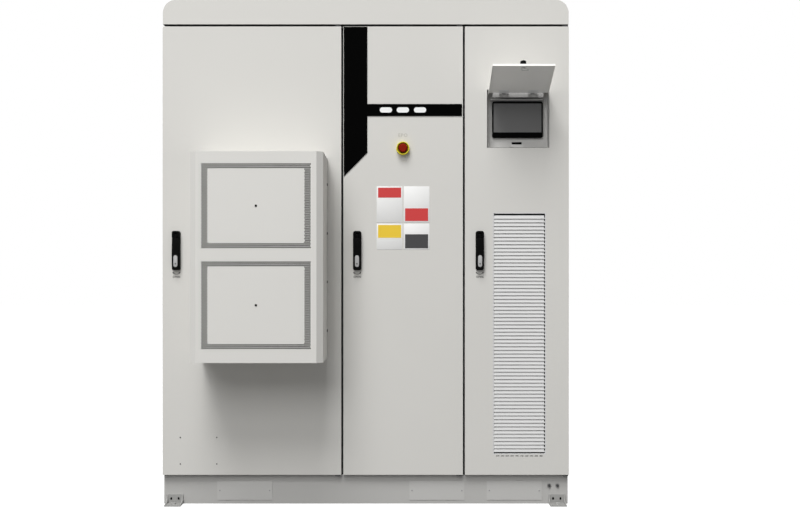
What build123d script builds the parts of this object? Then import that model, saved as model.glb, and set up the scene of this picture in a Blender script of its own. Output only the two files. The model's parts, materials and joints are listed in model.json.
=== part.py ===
from build123d import *
import os

# Outdoor battery cabinet.  X runs to the right, Y into the cabinet, Z up.
# The origin is on the floor, under the middle of the cabinet body.

# Overall size
WIDTH = 1850
DEPTH = 1200
HEIGHT = 2300
SHEET = 2
FRONT = -DEPTH / 2
REAR = DEPTH / 2
SIDE = WIDTH / 2

# Plinth
PLINTH_HEIGHT = 130
PLINTH_SETBACK = 25
PLINTH_WALL = 4
BEAM_WIDTH = 60
COVER_WIDTH = 252
COVER_HEIGHT = 87
COVER_LAP = 10
COVER_CENTRE_Z = 60.5
COVER_INSETS = {"left": 371, "middle": 600, "right": 246}
PLINTH_FRONT = FRONT + PLINTH_SETBACK
PLINTH_REAR = REAR - PLINTH_SETBACK
PLINTH_SIDE = SIDE - SHEET
COVER_CENTRES = (COVER_INSETS["left"] - SIDE, SIDE - COVER_INSETS["middle"],
                 SIDE - COVER_INSETS["right"])

# Doors
DOOR_DEPTH = 40
DOOR_GAP = 10
DOOR_LIP = 35
LATCH_LIP = 90
HINGE_LIP = 50
DOOR_LIFT = 6
ROOF_HEIGHT = 112
CENTRE_DOOR_WIDTH = 544
RIGHT_DOOR_WIDTH = 473
ROOF_BOTTOM = HEIGHT - ROOF_HEIGHT
DOOR_TOP = ROOF_BOTTOM - DOOR_GAP
DOOR_BOTTOM = PLINTH_HEIGHT + DOOR_LIFT
DOOR_REAR = FRONT + DOOR_DEPTH
RIGHT_DOOR_LEFT = SIDE - RIGHT_DOOR_WIDTH
CENTRE_DOOR_RIGHT = RIGHT_DOOR_LEFT - DOOR_GAP
CENTRE_DOOR_LEFT = CENTRE_DOOR_RIGHT - CENTRE_DOOR_WIDTH
LEFT_DOOR_RIGHT = CENTRE_DOOR_LEFT - DOOR_GAP
DOOR_SPANS = {
    "left": (-SIDE, LEFT_DOOR_RIGHT),
    "centre": (CENTRE_DOOR_LEFT, CENTRE_DOOR_RIGHT),
    "right": (RIGHT_DOOR_LEFT, SIDE),
}

# Door pivots
PIVOT_INSET = 15
PIN_RADIUS = 5
PIN_LENGTH = 20
PIN_CLEARANCE = 0.05
BUSH_SIZE = 26
BRACKET_THICKNESS = 5
BRACKET_WIDTH = 24
BRACKET_NOSE = 12
PIVOT_Y = FRONT + PIVOT_INSET

# Frame behind the doors
SEAL_GAP = 10
FRAME_LAP = 35
HINGE_LAP = 50
FRAME_WALL = 3
FRAME_DEPTH = 50
GASKET_WIDTH = 10
GASKET_INSET = 5
SEAT_CLEARANCE = 0.3
FRAME_FRONT = DOOR_REAR + SEAL_GAP
FRAME_REAR = FRAME_FRONT + FRAME_DEPTH
FRAME_TOP = DOOR_TOP + 2
BAYS = {
    door: (x0 + FRAME_LAP, x1 - HINGE_LAP) for door, (x0, x1) in DOOR_SPANS.items()
}
BAY_BOTTOM = DOOR_BOTTOM + FRAME_LAP
BAY_TOP = DOOR_TOP - FRAME_LAP
BODY_SIDE = SIDE - SHEET

# Swing handles and latches
HANDLE_INSETS = {"left": 63, "centre": 63, "right": 67}
HANDLE_WIDTH = 38
HANDLE_LENGTH = 178
HANDLE_CENTRE_Z = 1157
HANDLE_BULGE = 3
BASE_THICKNESS = 6
TURN_CLEARANCE = 0.3
LEVER_GAP = 2
LEVER_THICKNESS = 15
LEVER_EYE_RADIUS = 7.5
LEVER_EYE_WIDTH = 15
LEVER_PIN_RADIUS = 3
SPINDLE_DROP = 18
SPINDLE_RADIUS = 6
SPINDLE_END_GAP = 4
YOKE_WIDTH = 34
YOKE_HALF_HEIGHT = 11
LOCK_WIDTH = 18.4
LOCK_LENGTH = 53.4
LOCK_THICKNESS = 2.5
LOCK_CENTRE_DROP = 48
CASE_WIDTH = 36
CASE_HEIGHT = 120
CASE_DEPTH = 27
CASE_WALL = 2
ROD_WIDTH = 16
ROD_THICKNESS = 4
ROD_FRAME_GAP = 2
ROD_CLEARANCE = 0.5
ROD_BITE = 12
ROD_START = 31
GUIDE_WIDTH = 30
GUIDE_HEIGHT = 20
GUIDE_OFFSET = 120
SPINDLE_Z = HANDLE_CENTRE_Z + HANDLE_LENGTH / 2 - SPINDLE_DROP
BASE_FRONT = FRONT - BASE_THICKNESS
LEVER_BACK = BASE_FRONT - LEVER_GAP
LEVER_FRONT = LEVER_BACK - LEVER_THICKNESS
LEVER_PIN_Y = LEVER_BACK - LEVER_EYE_RADIUS
ROD_FRONT = FRAME_FRONT + FRAME_WALL + ROD_FRAME_GAP
ROD_BACK = ROD_FRONT + ROD_THICKNESS
CASE_BACK = DOOR_REAR + CASE_DEPTH
HANDLE_X = {door: DOOR_SPANS[door][0] + HANDLE_INSETS[door] for door in DOOR_SPANS}

# Cooling unit on the left door
COOLER_LATCH_MARGIN = 177.5
COOLER_HINGE_MARGIN = 63
COOLER_BOTTOM = 670
COOLER_TOP = 1577
COOLER_DEPTH = 305
COOLER_BEVEL_WIDTH = 27
COOLER_BEVEL_DEPTH = 23
COOLER_PANEL_INSET = 54.5
PERFORATION_PITCH = 21.5
PERFORATION_SIZE = 12
UPPER_PANEL_DROP = 55
UPPER_PANEL_HEIGHT = 357
LOWER_PANEL_RISE = 63
LOWER_PANEL_HEIGHT = 369
AIR_PORT_WIDTH = 220
AIR_PORT_HEIGHT = 150
FAN_RADIUS = 150
FAN_HUB_RADIUS = 45
FAN_BLADES = 5
FAN_BLADE_THICKNESS = 3
FAN_BLADE_CHORD = 70
FAN_BLADE_TWIST = 28
FAN_RING_CLEARANCE = 5
FAN_DEPTH = 34
FAN_SHAFT_RADIUS = 6
FAN_SHAFT_LENGTH = 24
MOTOR_RADIUS = 48
MOTOR_LENGTH = 40
MOTOR_BAR_WIDTH = 30
MOTOR_BAR_DEPTH = 4
COIL_DEPTH = 70
COIL_FINS = 20
COOLER_LEFT = COOLER_LATCH_MARGIN - SIDE
COOLER_RIGHT = LEFT_DOOR_RIGHT - COOLER_HINGE_MARGIN
COOLER_FRONT = FRONT - COOLER_DEPTH
COOLER_SHOULDER = COOLER_FRONT + COOLER_BEVEL_DEPTH
COOLER_X = (COOLER_LEFT + COOLER_RIGHT) / 2
UPPER_PANEL = (COOLER_TOP - UPPER_PANEL_DROP - UPPER_PANEL_HEIGHT,
               COOLER_TOP - UPPER_PANEL_DROP)
LOWER_PANEL = (COOLER_BOTTOM + LOWER_PANEL_RISE,
               COOLER_BOTTOM + LOWER_PANEL_RISE + LOWER_PANEL_HEIGHT)

# Centre door fittings
TRIM_THICKNESS = 3
TRIM_STRIP_WIDTH = 107
TRIM_LENGTH = 681
TRIM_CUT = 108
TRIM_BAND_DROP = 353.5
TRIM_BAND_HEIGHT = 54.5
TRIM_EDGE = 2
LAMP_INSETS = (194, 271, 349)
LAMP_DROP = 381
LAMP_LENGTH = 56
LAMP_HEIGHT = 24
LAMP_RISE = 3
ESTOP_INSET = 271
ESTOP_DROP = 556
ESTOP_COLLAR_RADIUS = 30
ESTOP_COLLAR_HEIGHT = 9
ESTOP_STEM_RADIUS = 9
ESTOP_STEM_LENGTH = 30
ESTOP_TRAVEL = 5
ESTOP_HEAD_RADIUS = 20
ESTOP_HEAD_HEIGHT = 14
TRIM_LEFT = CENTRE_DOOR_LEFT + TRIM_EDGE
TRIM_STRIP_RIGHT = TRIM_LEFT + TRIM_STRIP_WIDTH
TRIM_TOP = DOOR_TOP - TRIM_EDGE
TRIM_CUT_LOW = TRIM_TOP - TRIM_LENGTH
TRIM_CUT_HIGH = TRIM_CUT_LOW + TRIM_CUT
TRIM_BAND_TOP = DOOR_TOP - TRIM_BAND_DROP
TRIM_BAND_BOTTOM = TRIM_BAND_TOP - TRIM_BAND_HEIGHT
LAMP_CENTRES = [CENTRE_DOOR_LEFT + inset for inset in LAMP_INSETS]
LAMP_Z = DOOR_TOP - LAMP_DROP
ESTOP_X = CENTRE_DOOR_LEFT + ESTOP_INSET
ESTOP_Z = DOOR_TOP - ESTOP_DROP

# Operator panel in the right door
POCKET_INSET = 101.6
POCKET_WIDTH = 280
POCKET_DROP = 288
POCKET_HEIGHT = 262.5
POCKET_DEPTH = 62
POCKET_WALL = 1.5
DISPLAY_WIDTH = 233
DISPLAY_HEIGHT = 167
DISPLAY_THICKNESS = 12
DISPLAY_SHIFT = 2.9
DISPLAY_RISE = 133
DISPLAY_CORNER = 10
SCREEN_WIDTH = 220
SCREEN_HEIGHT = 133
SCREEN_RISE = 8
SCREEN_THICKNESS = 1.5
DRIP_REACH = 20
DRIP_GAP = 4
LID_WIDTH = 272
LID_LENGTH = 243
LID_SHEET = 1.5
LID_FLANGE = 10
LID_OPEN_ANGLE = 111
LID_AXIS_DROP = 12
LID_AXIS_PROUD = 4
LID_AXIS_MARGIN = 5
KNUCKLE_RADIUS = 3.5
HINGE_PIN_RADIUS = 1.5
HINGE_WIDTH = 44
HINGE_SPACING = 132
HINGE_LEAF_LENGTH = 24
STRIP_WIDTH = 232
STRIP_HEIGHT = 34
KEEPER_WIDTH = 50
KEEPER_HEIGHT = 14
LID_LOCK_RISE = 22
LID_LOCK_RADIUS = 9
LID_KNOB_RADIUS = 13
LID_KNOB_RISE = 15
LID_CAM_LENGTH = 22
LID_CAM_WIDTH = 10
LID_CAM_THICKNESS = 2
LID_LOCK_DEPTH = 16
POCKET_LEFT = RIGHT_DOOR_LEFT + POCKET_INSET
POCKET_RIGHT = POCKET_LEFT + POCKET_WIDTH
POCKET_TOP = DOOR_TOP - POCKET_DROP
POCKET_BOTTOM = POCKET_TOP - POCKET_HEIGHT
POCKET_X = (POCKET_LEFT + POCKET_RIGHT) / 2
DISPLAY_X = POCKET_X + DISPLAY_SHIFT
DISPLAY_Z = POCKET_BOTTOM + DISPLAY_RISE
POCKET_BACK = FRONT + POCKET_DEPTH
LID_AXIS_Y = FRONT - LID_AXIS_PROUD
LID_AXIS_Z = POCKET_TOP - LID_AXIS_DROP

# Louvre panel in the right door
LOUVRE_INSET = 127
LOUVRE_WIDTH = 242
LOUVRE_RISE = 93
LOUVRE_HEIGHT = 1101
LOUVRE_BORDER = 4
BLADE_PITCH = 16.6
BLADE_DROP = 14.5
BLADE_REACH = 12
BLADE_THICKNESS = 1.5
FILTER_THICKNESS = 12
DRAIN_COUNT = 10
DRAIN_PITCH = 22
DRAIN_LENGTH = 15
DRAIN_HEIGHT = 4
DRAIN_DROP = 7
LOUVRE_LEFT = RIGHT_DOOR_LEFT + LOUVRE_INSET
LOUVRE_RIGHT = LOUVRE_LEFT + LOUVRE_WIDTH
LOUVRE_BOTTOM = DOOR_BOTTOM + LOUVRE_RISE
LOUVRE_TOP = LOUVRE_BOTTOM + LOUVRE_HEIGHT

# Roof
ROOF_CORNER = 60
ROOF_WALL = 2.5
ROOF_INSET = 1
ROOF_FLANGE = 40
DECK_THICKNESS = 3
BRACKET_TAIL = 30

# Air slots in the rear panel
REAR_SLOTS = 14
REAR_SLOT_WIDTH = 300
REAR_SLOT_HEIGHT = 10
REAR_SLOT_PITCH = 30
REAR_SLOT_FIRST_Z = 1500

# Inside the cabinet
FLOOR_THICKNESS = 3
PARTITION = 2
RACK_ANGLE = 40
RACK_WALL = 3
RACK_FRONT = -420
RACK_REAR = 480
MODULE_HEIGHT = 190
MODULE_PITCH = 232
MODULE_FIRST_Z = 200
RUNNER_DROP = 3
UNIT_GAP = 40
CONVERTER_TOP = 1250
CONTROL_BOTTOM = 1330
FIN_COUNT = 12
CASING_WALL = 8
MODULE_COUNT = int((FRAME_TOP - MODULE_FIRST_Z) / MODULE_PITCH)

# Anchor brackets and earth points
ANCHOR_INSET = 52
ANCHOR_WIDTH = 74
ANCHOR_HEIGHT = 43
ANCHOR_REACH = 68
ANCHOR_WALL = 5
ANCHOR_HOLE_RADIUS = 7
ANCHOR_SLOT_SPACING = 33.5
ANCHOR_SLOT_WIDTH = 9
ANCHOR_SLOT_LENGTH = 13
ANCHOR_SLOT_Z = 24
ANCHOR_BEND = 20
EARTH_INSETS = (87, 49)
EARTH_Z = 84
EARTH_RADIUS = 10
EARTH_BORE_RADIUS = 4
EARTH_PAD = 3

os.makedirs("parts", exist_ok=True)


def block(x0, x1, y0, y1, z0, z1):
    return Pos((x0 + x1) / 2, (y0 + y1) / 2, (z0 + z1) / 2) * Box(x1 - x0, y1 - y0, z1 - z0)


def front_shape(sketch, y_front, y_back):
    """A front-view outline in X and Z, given its thickness between two Y values."""
    plane = Plane(origin=(0, y_back, 0), x_dir=(1, 0, 0), z_dir=(0, -1, 0))
    return extrude(plane * sketch, amount=y_back - y_front)


def side_shape(sketch, x0, x1):
    """A side-view outline in Y and Z, extruded along X."""
    plane = Plane(origin=(x0, 0, 0), x_dir=(0, 1, 0), z_dir=(1, 0, 0))
    return extrude(plane * sketch, amount=x1 - x0)


def plan_shape(sketch, z0, z1):
    """A plan outline in X and Y, extruded upwards."""
    return extrude(Pos(0, 0, z0) * sketch, amount=z1 - z0)


def disc(x, z, radius, y_front, y_back):
    return front_shape(Pos(x, z) * Circle(radius), y_front, y_back)


def outline(*points):
    """A closed polygon that faces the same way whichever way round its points run."""
    face = Polygon(*points, align=None).faces()[0]
    return Sketch() + (face if face.normal_at().Z > 0 else -face)


def save(node, *shapes):
    solids = []
    for shape in shapes:
        solids.extend(shape.solids())
    body = solids[0] if len(solids) == 1 else Compound(solids)
    export_step(body, f"parts/{node}.step")


# Plinth: four beams and a middle cross-member on the floor
def beam_along_x(y_outer, inward):
    y_inner = y_outer + inward * BEAM_WIDTH
    low, high = sorted((y_outer, y_inner))
    beam = block(-PLINTH_SIDE, PLINTH_SIDE, low, high, 0, PLINTH_HEIGHT)
    hollow_low, hollow_high = sorted((y_outer + inward * PLINTH_WALL, y_inner + inward))
    return beam - block(-PLINTH_SIDE - 1, PLINTH_SIDE + 1, hollow_low, hollow_high,
                        PLINTH_WALL, PLINTH_HEIGHT - PLINTH_WALL)


def beam_along_y(x_outer, inward):
    x_inner = x_outer + inward * BEAM_WIDTH
    low, high = sorted((x_outer, x_inner))
    y0 = PLINTH_FRONT + BEAM_WIDTH
    y1 = PLINTH_REAR - BEAM_WIDTH
    beam = block(low, high, y0, y1, 0, PLINTH_HEIGHT)
    hollow_low, hollow_high = sorted((x_outer + inward * PLINTH_WALL, x_inner + inward))
    return beam - block(hollow_low, hollow_high, y0 - 1, y1 + 1,
                        PLINTH_WALL, PLINTH_HEIGHT - PLINTH_WALL)


front_beam = beam_along_x(PLINTH_FRONT, 1)
for centre in COVER_CENTRES:
    half = COVER_WIDTH / 2 - COVER_LAP
    tall = COVER_HEIGHT / 2 - COVER_LAP
    front_beam -= block(centre - half, centre + half, PLINTH_FRONT - 1,
                        PLINTH_FRONT + PLINTH_WALL + 1,
                        COVER_CENTRE_Z - tall, COVER_CENTRE_Z + tall)
middle_beam = block(-BEAM_WIDTH / 2, BEAM_WIDTH / 2, PLINTH_FRONT + BEAM_WIDTH,
                    PLINTH_REAR - BEAM_WIDTH, 0, PLINTH_HEIGHT)
middle_beam -= block(-BEAM_WIDTH / 2 + PLINTH_WALL, BEAM_WIDTH / 2 - PLINTH_WALL,
                     PLINTH_FRONT, PLINTH_REAR, PLINTH_WALL, PLINTH_HEIGHT - PLINTH_WALL)
save("plinth", front_beam, beam_along_x(PLINTH_REAR, -1), beam_along_y(-PLINTH_SIDE, 1),
     beam_along_y(PLINTH_SIDE, -1), middle_beam)

plinth_covers = [
    block(centre - COVER_WIDTH / 2, centre + COVER_WIDTH / 2, PLINTH_FRONT - SHEET,
          PLINTH_FRONT, COVER_CENTRE_Z - COVER_HEIGHT / 2, COVER_CENTRE_Z + COVER_HEIGHT / 2)
    for centre in COVER_CENTRES
]
save("plinth_covers", *plinth_covers)


# Anchor brackets: folded feet with curved gussets, one at each corner of the plinth
def anchor_bracket():
    """One bracket about its own X = 0, with its upright plate on Y = 0."""
    side = outline((0, 0), (-ANCHOR_REACH, 0), (-ANCHOR_REACH, ANCHOR_WALL),
                   (-ANCHOR_BEND - ANCHOR_WALL, ANCHOR_WALL * 2),
                   (-ANCHOR_WALL * 2, ANCHOR_BEND + ANCHOR_WALL),
                   (-ANCHOR_WALL, ANCHOR_HEIGHT), (0, ANCHOR_HEIGHT))
    half = ANCHOR_WIDTH / 2
    bracket = side_shape(side, -half, half)
    bracket -= side_shape(
        outline((-ANCHOR_WALL, ANCHOR_WALL), (-ANCHOR_REACH - 1, ANCHOR_WALL),
                (-ANCHOR_REACH - 1, ANCHOR_HEIGHT + 1), (-ANCHOR_WALL, ANCHOR_HEIGHT + 1)),
        -half + ANCHOR_WALL, half - ANCHOR_WALL)
    bracket -= plan_shape(Pos(0, -ANCHOR_REACH / 2) * Circle(ANCHOR_HOLE_RADIUS),
                          -1, ANCHOR_WALL + 1)
    for sign in (-1, 1):
        slot = Rot(0, 0, 90) * SlotOverall(ANCHOR_SLOT_LENGTH, ANCHOR_SLOT_WIDTH)
        place = Pos(sign * ANCHOR_SLOT_SPACING / 2, ANCHOR_SLOT_Z)
        bracket -= front_shape(place * slot, -ANCHOR_WALL - 1, 1)
    return bracket


anchor_brackets = []
for x_sign in (-1, 1):
    x = x_sign * (SIDE - ANCHOR_INSET)
    anchor_brackets.append(Pos(x, PLINTH_FRONT, 0) * anchor_bracket())
    anchor_brackets.append(Pos(x, PLINTH_REAR, 0) * Rot(0, 0, 180) * anchor_bracket())
save("anchor_brackets", *anchor_brackets)

earth_points = []
for inset in EARTH_INSETS:
    x = SIDE - inset
    point = disc(x, EARTH_Z, EARTH_RADIUS, PLINTH_FRONT - EARTH_PAD, PLINTH_FRONT)
    point -= disc(x, EARTH_Z, EARTH_BORE_RADIUS, PLINTH_FRONT - EARTH_PAD - 1, PLINTH_FRONT + 1)
    earth_points.append(point)
save("earth_points", *earth_points)

# Front frame: folded channels round three bays
left_bay, centre_bay, right_bay = (BAYS[door] for door in ("left", "centre", "right"))


def channel_post(x0, x1):
    """An upright post: a channel that is open towards the rear."""
    post = block(x0, x1, FRAME_FRONT, FRAME_REAR, BAY_BOTTOM, BAY_TOP)
    return post - block(x0 + FRAME_WALL, x1 - FRAME_WALL, FRAME_FRONT + FRAME_WALL,
                        FRAME_REAR + 1, BAY_BOTTOM - 1, BAY_TOP + 1)


def channel_rail(z0, z1, web_at_top):
    """A cross rail: a front lip that the latch rods hook behind, and a web."""
    rail = block(-BODY_SIDE, BODY_SIDE, FRAME_FRONT, FRAME_REAR, z0, z1)
    low = z0 - 1 if web_at_top else z0 + FRAME_WALL
    high = z1 - FRAME_WALL if web_at_top else z1 + 1
    return rail - block(-BODY_SIDE - 1, BODY_SIDE + 1, FRAME_FRONT + FRAME_WALL,
                        FRAME_REAR + 1, low, high)


save("front_frame",
     channel_rail(PLINTH_HEIGHT, BAY_BOTTOM, False),
     channel_rail(BAY_TOP, FRAME_TOP, True),
     channel_post(-BODY_SIDE, left_bay[0]),
     channel_post(left_bay[1], centre_bay[0]),
     channel_post(centre_bay[1], right_bay[0]),
     channel_post(right_bay[1], BODY_SIDE))

# Gaskets: a soft ring round each bay, between the frame and its door
gaskets = []
for x0, x1 in BAYS.values():
    reach = GASKET_INSET + GASKET_WIDTH
    ring = block(x0 - reach, x1 + reach, DOOR_REAR + SEAT_CLEARANCE, FRAME_FRONT,
                 BAY_BOTTOM - reach, BAY_TOP + reach)
    ring -= block(x0 - GASKET_INSET, x1 + GASKET_INSET, DOOR_REAR, FRAME_FRONT + 1,
                  BAY_BOTTOM - GASKET_INSET, BAY_TOP + GASKET_INSET)
    gaskets.append(ring)
save("door_gaskets", *gaskets)

# Pivot brackets: a plate and a pin above and below each door
pivot_brackets = []
for x0, x1 in DOOR_SPANS.values():
    x = x1 - PIVOT_INSET
    nose = PIVOT_Y - BRACKET_NOSE
    half = BRACKET_WIDTH / 2
    pin = Pos(x, PIVOT_Y) * Circle(PIN_RADIUS)
    upper = block(x - half, x + half, nose, FRAME_FRONT + BRACKET_TAIL,
                  FRAME_TOP, FRAME_TOP + BRACKET_THICKNESS)
    upper += plan_shape(pin, DOOR_TOP - PIN_LENGTH, FRAME_TOP)
    lower = block(x - half, x + half, nose, FRAME_FRONT,
                  PLINTH_HEIGHT, PLINTH_HEIGHT + BRACKET_THICKNESS)
    lower += plan_shape(pin, PLINTH_HEIGHT + BRACKET_THICKNESS, DOOR_BOTTOM + PIN_LENGTH)
    pivot_brackets.extend((upper, lower))
save("pivot_brackets", *pivot_brackets)


# Cabinet skins
def side_panel(sign):
    x_out = sign * SIDE
    x_in = sign * BODY_SIDE
    x_flange = sign * (BODY_SIDE - DOOR_LIP)
    panel = block(*sorted((x_out, x_in)), FRAME_FRONT, REAR, PLINTH_HEIGHT, ROOF_BOTTOM)
    panel += block(*sorted((x_out, x_flange)), REAR - SHEET, REAR, PLINTH_HEIGHT, ROOF_BOTTOM)
    return panel


save("side_panels", side_panel(-1), side_panel(1))

rear_panel = block(-BODY_SIDE + DOOR_LIP, BODY_SIDE - DOOR_LIP, REAR - SHEET, REAR,
                   PLINTH_HEIGHT, ROOF_BOTTOM)
rear_slots = Sketch()
for row in range(REAR_SLOTS):
    rear_slots += Pos((right_bay[0] + right_bay[1]) / 2,
                      REAR_SLOT_FIRST_Z + row * REAR_SLOT_PITCH) * Rectangle(
        REAR_SLOT_WIDTH, REAR_SLOT_HEIGHT)
rear_panel -= front_shape(rear_slots, REAR - SHEET - 1, REAR + 1)
save("rear_panel", rear_panel)

rear_posts = []
for sign in (-1, 1):
    x_out = sign * BODY_SIDE
    x_in = sign * (BODY_SIDE - RACK_ANGLE)
    x_wall = sign * (BODY_SIDE - FRAME_WALL)
    post = block(*sorted((x_out, x_in)), REAR - SHEET - RACK_ANGLE, REAR - SHEET,
                 PLINTH_HEIGHT, FRAME_TOP)
    post -= block(*sorted((x_wall, sign * (BODY_SIDE - RACK_ANGLE - 1))),
                  REAR - SHEET - RACK_ANGLE - 1, REAR - SHEET - FRAME_WALL,
                  PLINTH_HEIGHT - 1, FRAME_TOP + 1)
    rear_posts.append(post)
save("rear_posts", *rear_posts)

# Deck under the roof, with an upstand that the roof rests on
deck_front = FRAME_FRONT + BRACKET_TAIL + 1
top_deck = block(-BODY_SIDE, BODY_SIDE, deck_front, REAR - SHEET, FRAME_TOP,
                 FRAME_TOP + DECK_THICKNESS)
rib = block(-BODY_SIDE + ROOF_FLANGE / 2, BODY_SIDE - ROOF_FLANGE / 2, deck_front,
            REAR - SHEET - ROOF_FLANGE / 4, FRAME_TOP + DECK_THICKNESS, ROOF_BOTTOM)
rib -= block(-BODY_SIDE + ROOF_FLANGE * 0.6, BODY_SIDE - ROOF_FLANGE * 0.6,
             deck_front + DECK_THICKNESS, REAR - SHEET - ROOF_FLANGE / 2,
             FRAME_TOP + DECK_THICKNESS - 1, ROOF_BOTTOM + 1)
save("top_deck", top_deck + rib)

# Roof: a folded cap with rounded upper corners and a return flange below
roof_side = SIDE - ROOF_INSET


def cap_outline(side, top, bottom, corner):
    body = Pos(0, (top + bottom) / 2) * Rectangle(2 * side, top - bottom)
    upper = body.vertices().group_by(Axis.Y)[-1]
    return fillet(upper, corner)


roof = front_shape(cap_outline(roof_side, HEIGHT, ROOF_BOTTOM, ROOF_CORNER), FRONT, REAR)
roof -= front_shape(
    cap_outline(roof_side - ROOF_WALL, HEIGHT - ROOF_WALL, ROOF_BOTTOM + ROOF_WALL,
                ROOF_CORNER - ROOF_WALL),
    FRONT + ROOF_WALL, REAR - ROOF_WALL)
front_flange = FRAME_FRONT + BRACKET_TAIL - FRONT + ROOF_FLANGE
roof -= block(-roof_side + ROOF_FLANGE, roof_side - ROOF_FLANGE, FRONT + front_flange,
              REAR - ROOF_FLANGE, ROOF_BOTTOM - 1, ROOF_BOTTOM + ROOF_WALL + 1)
save("roof_cover", roof)

floor_plate = block(-BODY_SIDE, BODY_SIDE, FRAME_REAR, REAR - SHEET, PLINTH_HEIGHT,
                    PLINTH_HEIGHT + FLOOR_THICKNESS)
for sign in (-1, 1):
    x_in = sign * (BODY_SIDE - RACK_ANGLE)
    floor_plate -= block(*sorted((sign * BODY_SIDE, x_in)), REAR - SHEET - RACK_ANGLE,
                         REAR, PLINTH_HEIGHT - 1, PLINTH_HEIGHT + FLOOR_THICKNESS + 1)
save("floor_plate", floor_plate)

FLOOR_TOP = PLINTH_HEIGHT + FLOOR_THICKNESS
partitions = []
for left, right in ((left_bay[1], centre_bay[0]), (centre_bay[1], right_bay[0])):
    x = (left + right) / 2
    partitions.append(block(x - PARTITION / 2, x + PARTITION / 2, FRAME_REAR, REAR - SHEET,
                            FLOOR_TOP, FRAME_TOP))
save("bay_partitions", *partitions)


# Doors: folded pans, hinged at their right edge
def door_pan(door):
    x0, x1 = DOOR_SPANS[door]
    pan = block(x0, x1, FRONT, DOOR_REAR, DOOR_BOTTOM, DOOR_TOP)
    pan -= block(x0 + SHEET, x1 - SHEET, FRONT + SHEET, DOOR_REAR - SHEET,
                 DOOR_BOTTOM + SHEET, DOOR_TOP - SHEET)
    pan -= block(x0 + LATCH_LIP, x1 - HINGE_LIP, DOOR_REAR - SHEET - 1, DOOR_REAR + 1,
                 DOOR_BOTTOM + DOOR_LIP, DOOR_TOP - DOOR_LIP)
    x = x1 - PIVOT_INSET
    half = BUSH_SIZE / 2
    bore = PIN_RADIUS + PIN_CLEARANCE
    inner_side = x1 - SHEET
    for low, high in ((DOOR_BOTTOM, DOOR_BOTTOM + PIN_LENGTH + SHEET),
                      (DOOR_TOP - PIN_LENGTH - SHEET, DOOR_TOP)):
        pan += block(x - half, inner_side, FRONT + SHEET, PIVOT_Y + half, low, high)
    for low, high in ((DOOR_BOTTOM - 1, DOOR_BOTTOM + PIN_LENGTH + SHEET / 2),
                      (DOOR_TOP - PIN_LENGTH - SHEET / 2, DOOR_TOP + 1)):
        pan -= plan_shape(Pos(x, PIVOT_Y) * Circle(bore), low, high)
    hole = Pos(HANDLE_X[door], SPINDLE_Z) * Circle(SPINDLE_RADIUS + 1)
    return pan - front_shape(hole, FRONT - 1, DOOR_REAR + 1)


left_pan = door_pan("left")
port_shift = (COOLER_TOP - COOLER_BOTTOM) / 4
cooler_z = (COOLER_TOP + COOLER_BOTTOM) / 2
for sign in (-1, 1):
    z = cooler_z + sign * port_shift
    left_pan -= block(COOLER_X - AIR_PORT_WIDTH / 2, COOLER_X + AIR_PORT_WIDTH / 2, FRONT - 1,
                      FRONT + SHEET + 1, z - AIR_PORT_HEIGHT / 2, z + AIR_PORT_HEIGHT / 2)
save("left_door_panel", left_pan)

centre_pan = door_pan("centre")
centre_pan -= disc(ESTOP_X, ESTOP_Z, ESTOP_STEM_RADIUS + 1, FRONT - 1, FRONT + SHEET + 1)
save("centre_door_panel", centre_pan)

right_pan = door_pan("right")
right_pan -= block(POCKET_LEFT, POCKET_RIGHT, FRONT - 1, FRONT + SHEET + 1,
                   POCKET_BOTTOM, POCKET_TOP)
right_pan -= block(LOUVRE_LEFT, LOUVRE_RIGHT, FRONT - 1, FRONT + SHEET + 1,
                   LOUVRE_BOTTOM, LOUVRE_TOP)
drains = Sketch()
louvre_x = (LOUVRE_LEFT + LOUVRE_RIGHT) / 2
for column in range(DRAIN_COUNT):
    x = louvre_x + (column - (DRAIN_COUNT - 1) / 2) * DRAIN_PITCH
    drains += Pos(x, LOUVRE_BOTTOM - DRAIN_DROP) * Rectangle(DRAIN_LENGTH, DRAIN_HEIGHT)
right_pan -= front_shape(drains, FRONT - 1, FRONT + SHEET + 1)
save("right_door_panel", right_pan)


# Swing handles: base, turning spindle with a yoke, and tilting lever
def handle_base(x):
    plate = RectangleRounded(HANDLE_WIDTH, HANDLE_LENGTH, HANDLE_WIDTH / 4)
    base = front_shape(Pos(x, HANDLE_CENTRE_Z) * plate, BASE_FRONT, FRONT)
    return base - disc(x, SPINDLE_Z, SPINDLE_RADIUS + PIN_CLEARANCE, BASE_FRONT - 1, FRONT + 1)


def handle_spindle(x):
    half = YOKE_WIDTH / 2
    top = SPINDLE_Z + SPINDLE_DROP
    yoke = block(x - half, x + half, LEVER_FRONT, BASE_FRONT - TURN_CLEARANCE,
                 SPINDLE_Z - YOKE_HALF_HEIGHT, top)
    yoke = fillet(yoke.edges().filter_by(Axis.Y).group_by(Axis.Z)[-1], HANDLE_WIDTH / 5)
    eye_room = LEVER_EYE_WIDTH / 2 + SEAT_CLEARANCE
    yoke -= block(x - eye_room, x + eye_room, LEVER_FRONT - 1, LEVER_BACK + 1,
                  SPINDLE_Z - YOKE_HALF_HEIGHT - 1, SPINDLE_Z + YOKE_HALF_HEIGHT)
    yoke += side_shape(Pos(LEVER_PIN_Y, SPINDLE_Z) * Circle(LEVER_PIN_RADIUS),
                       x - half + 1, x + half - 1)
    return yoke + disc(x, SPINDLE_Z, SPINDLE_RADIUS, BASE_FRONT - TURN_CLEARANCE,
                       CASE_BACK - CASE_WALL - SPINDLE_END_GAP)


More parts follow.
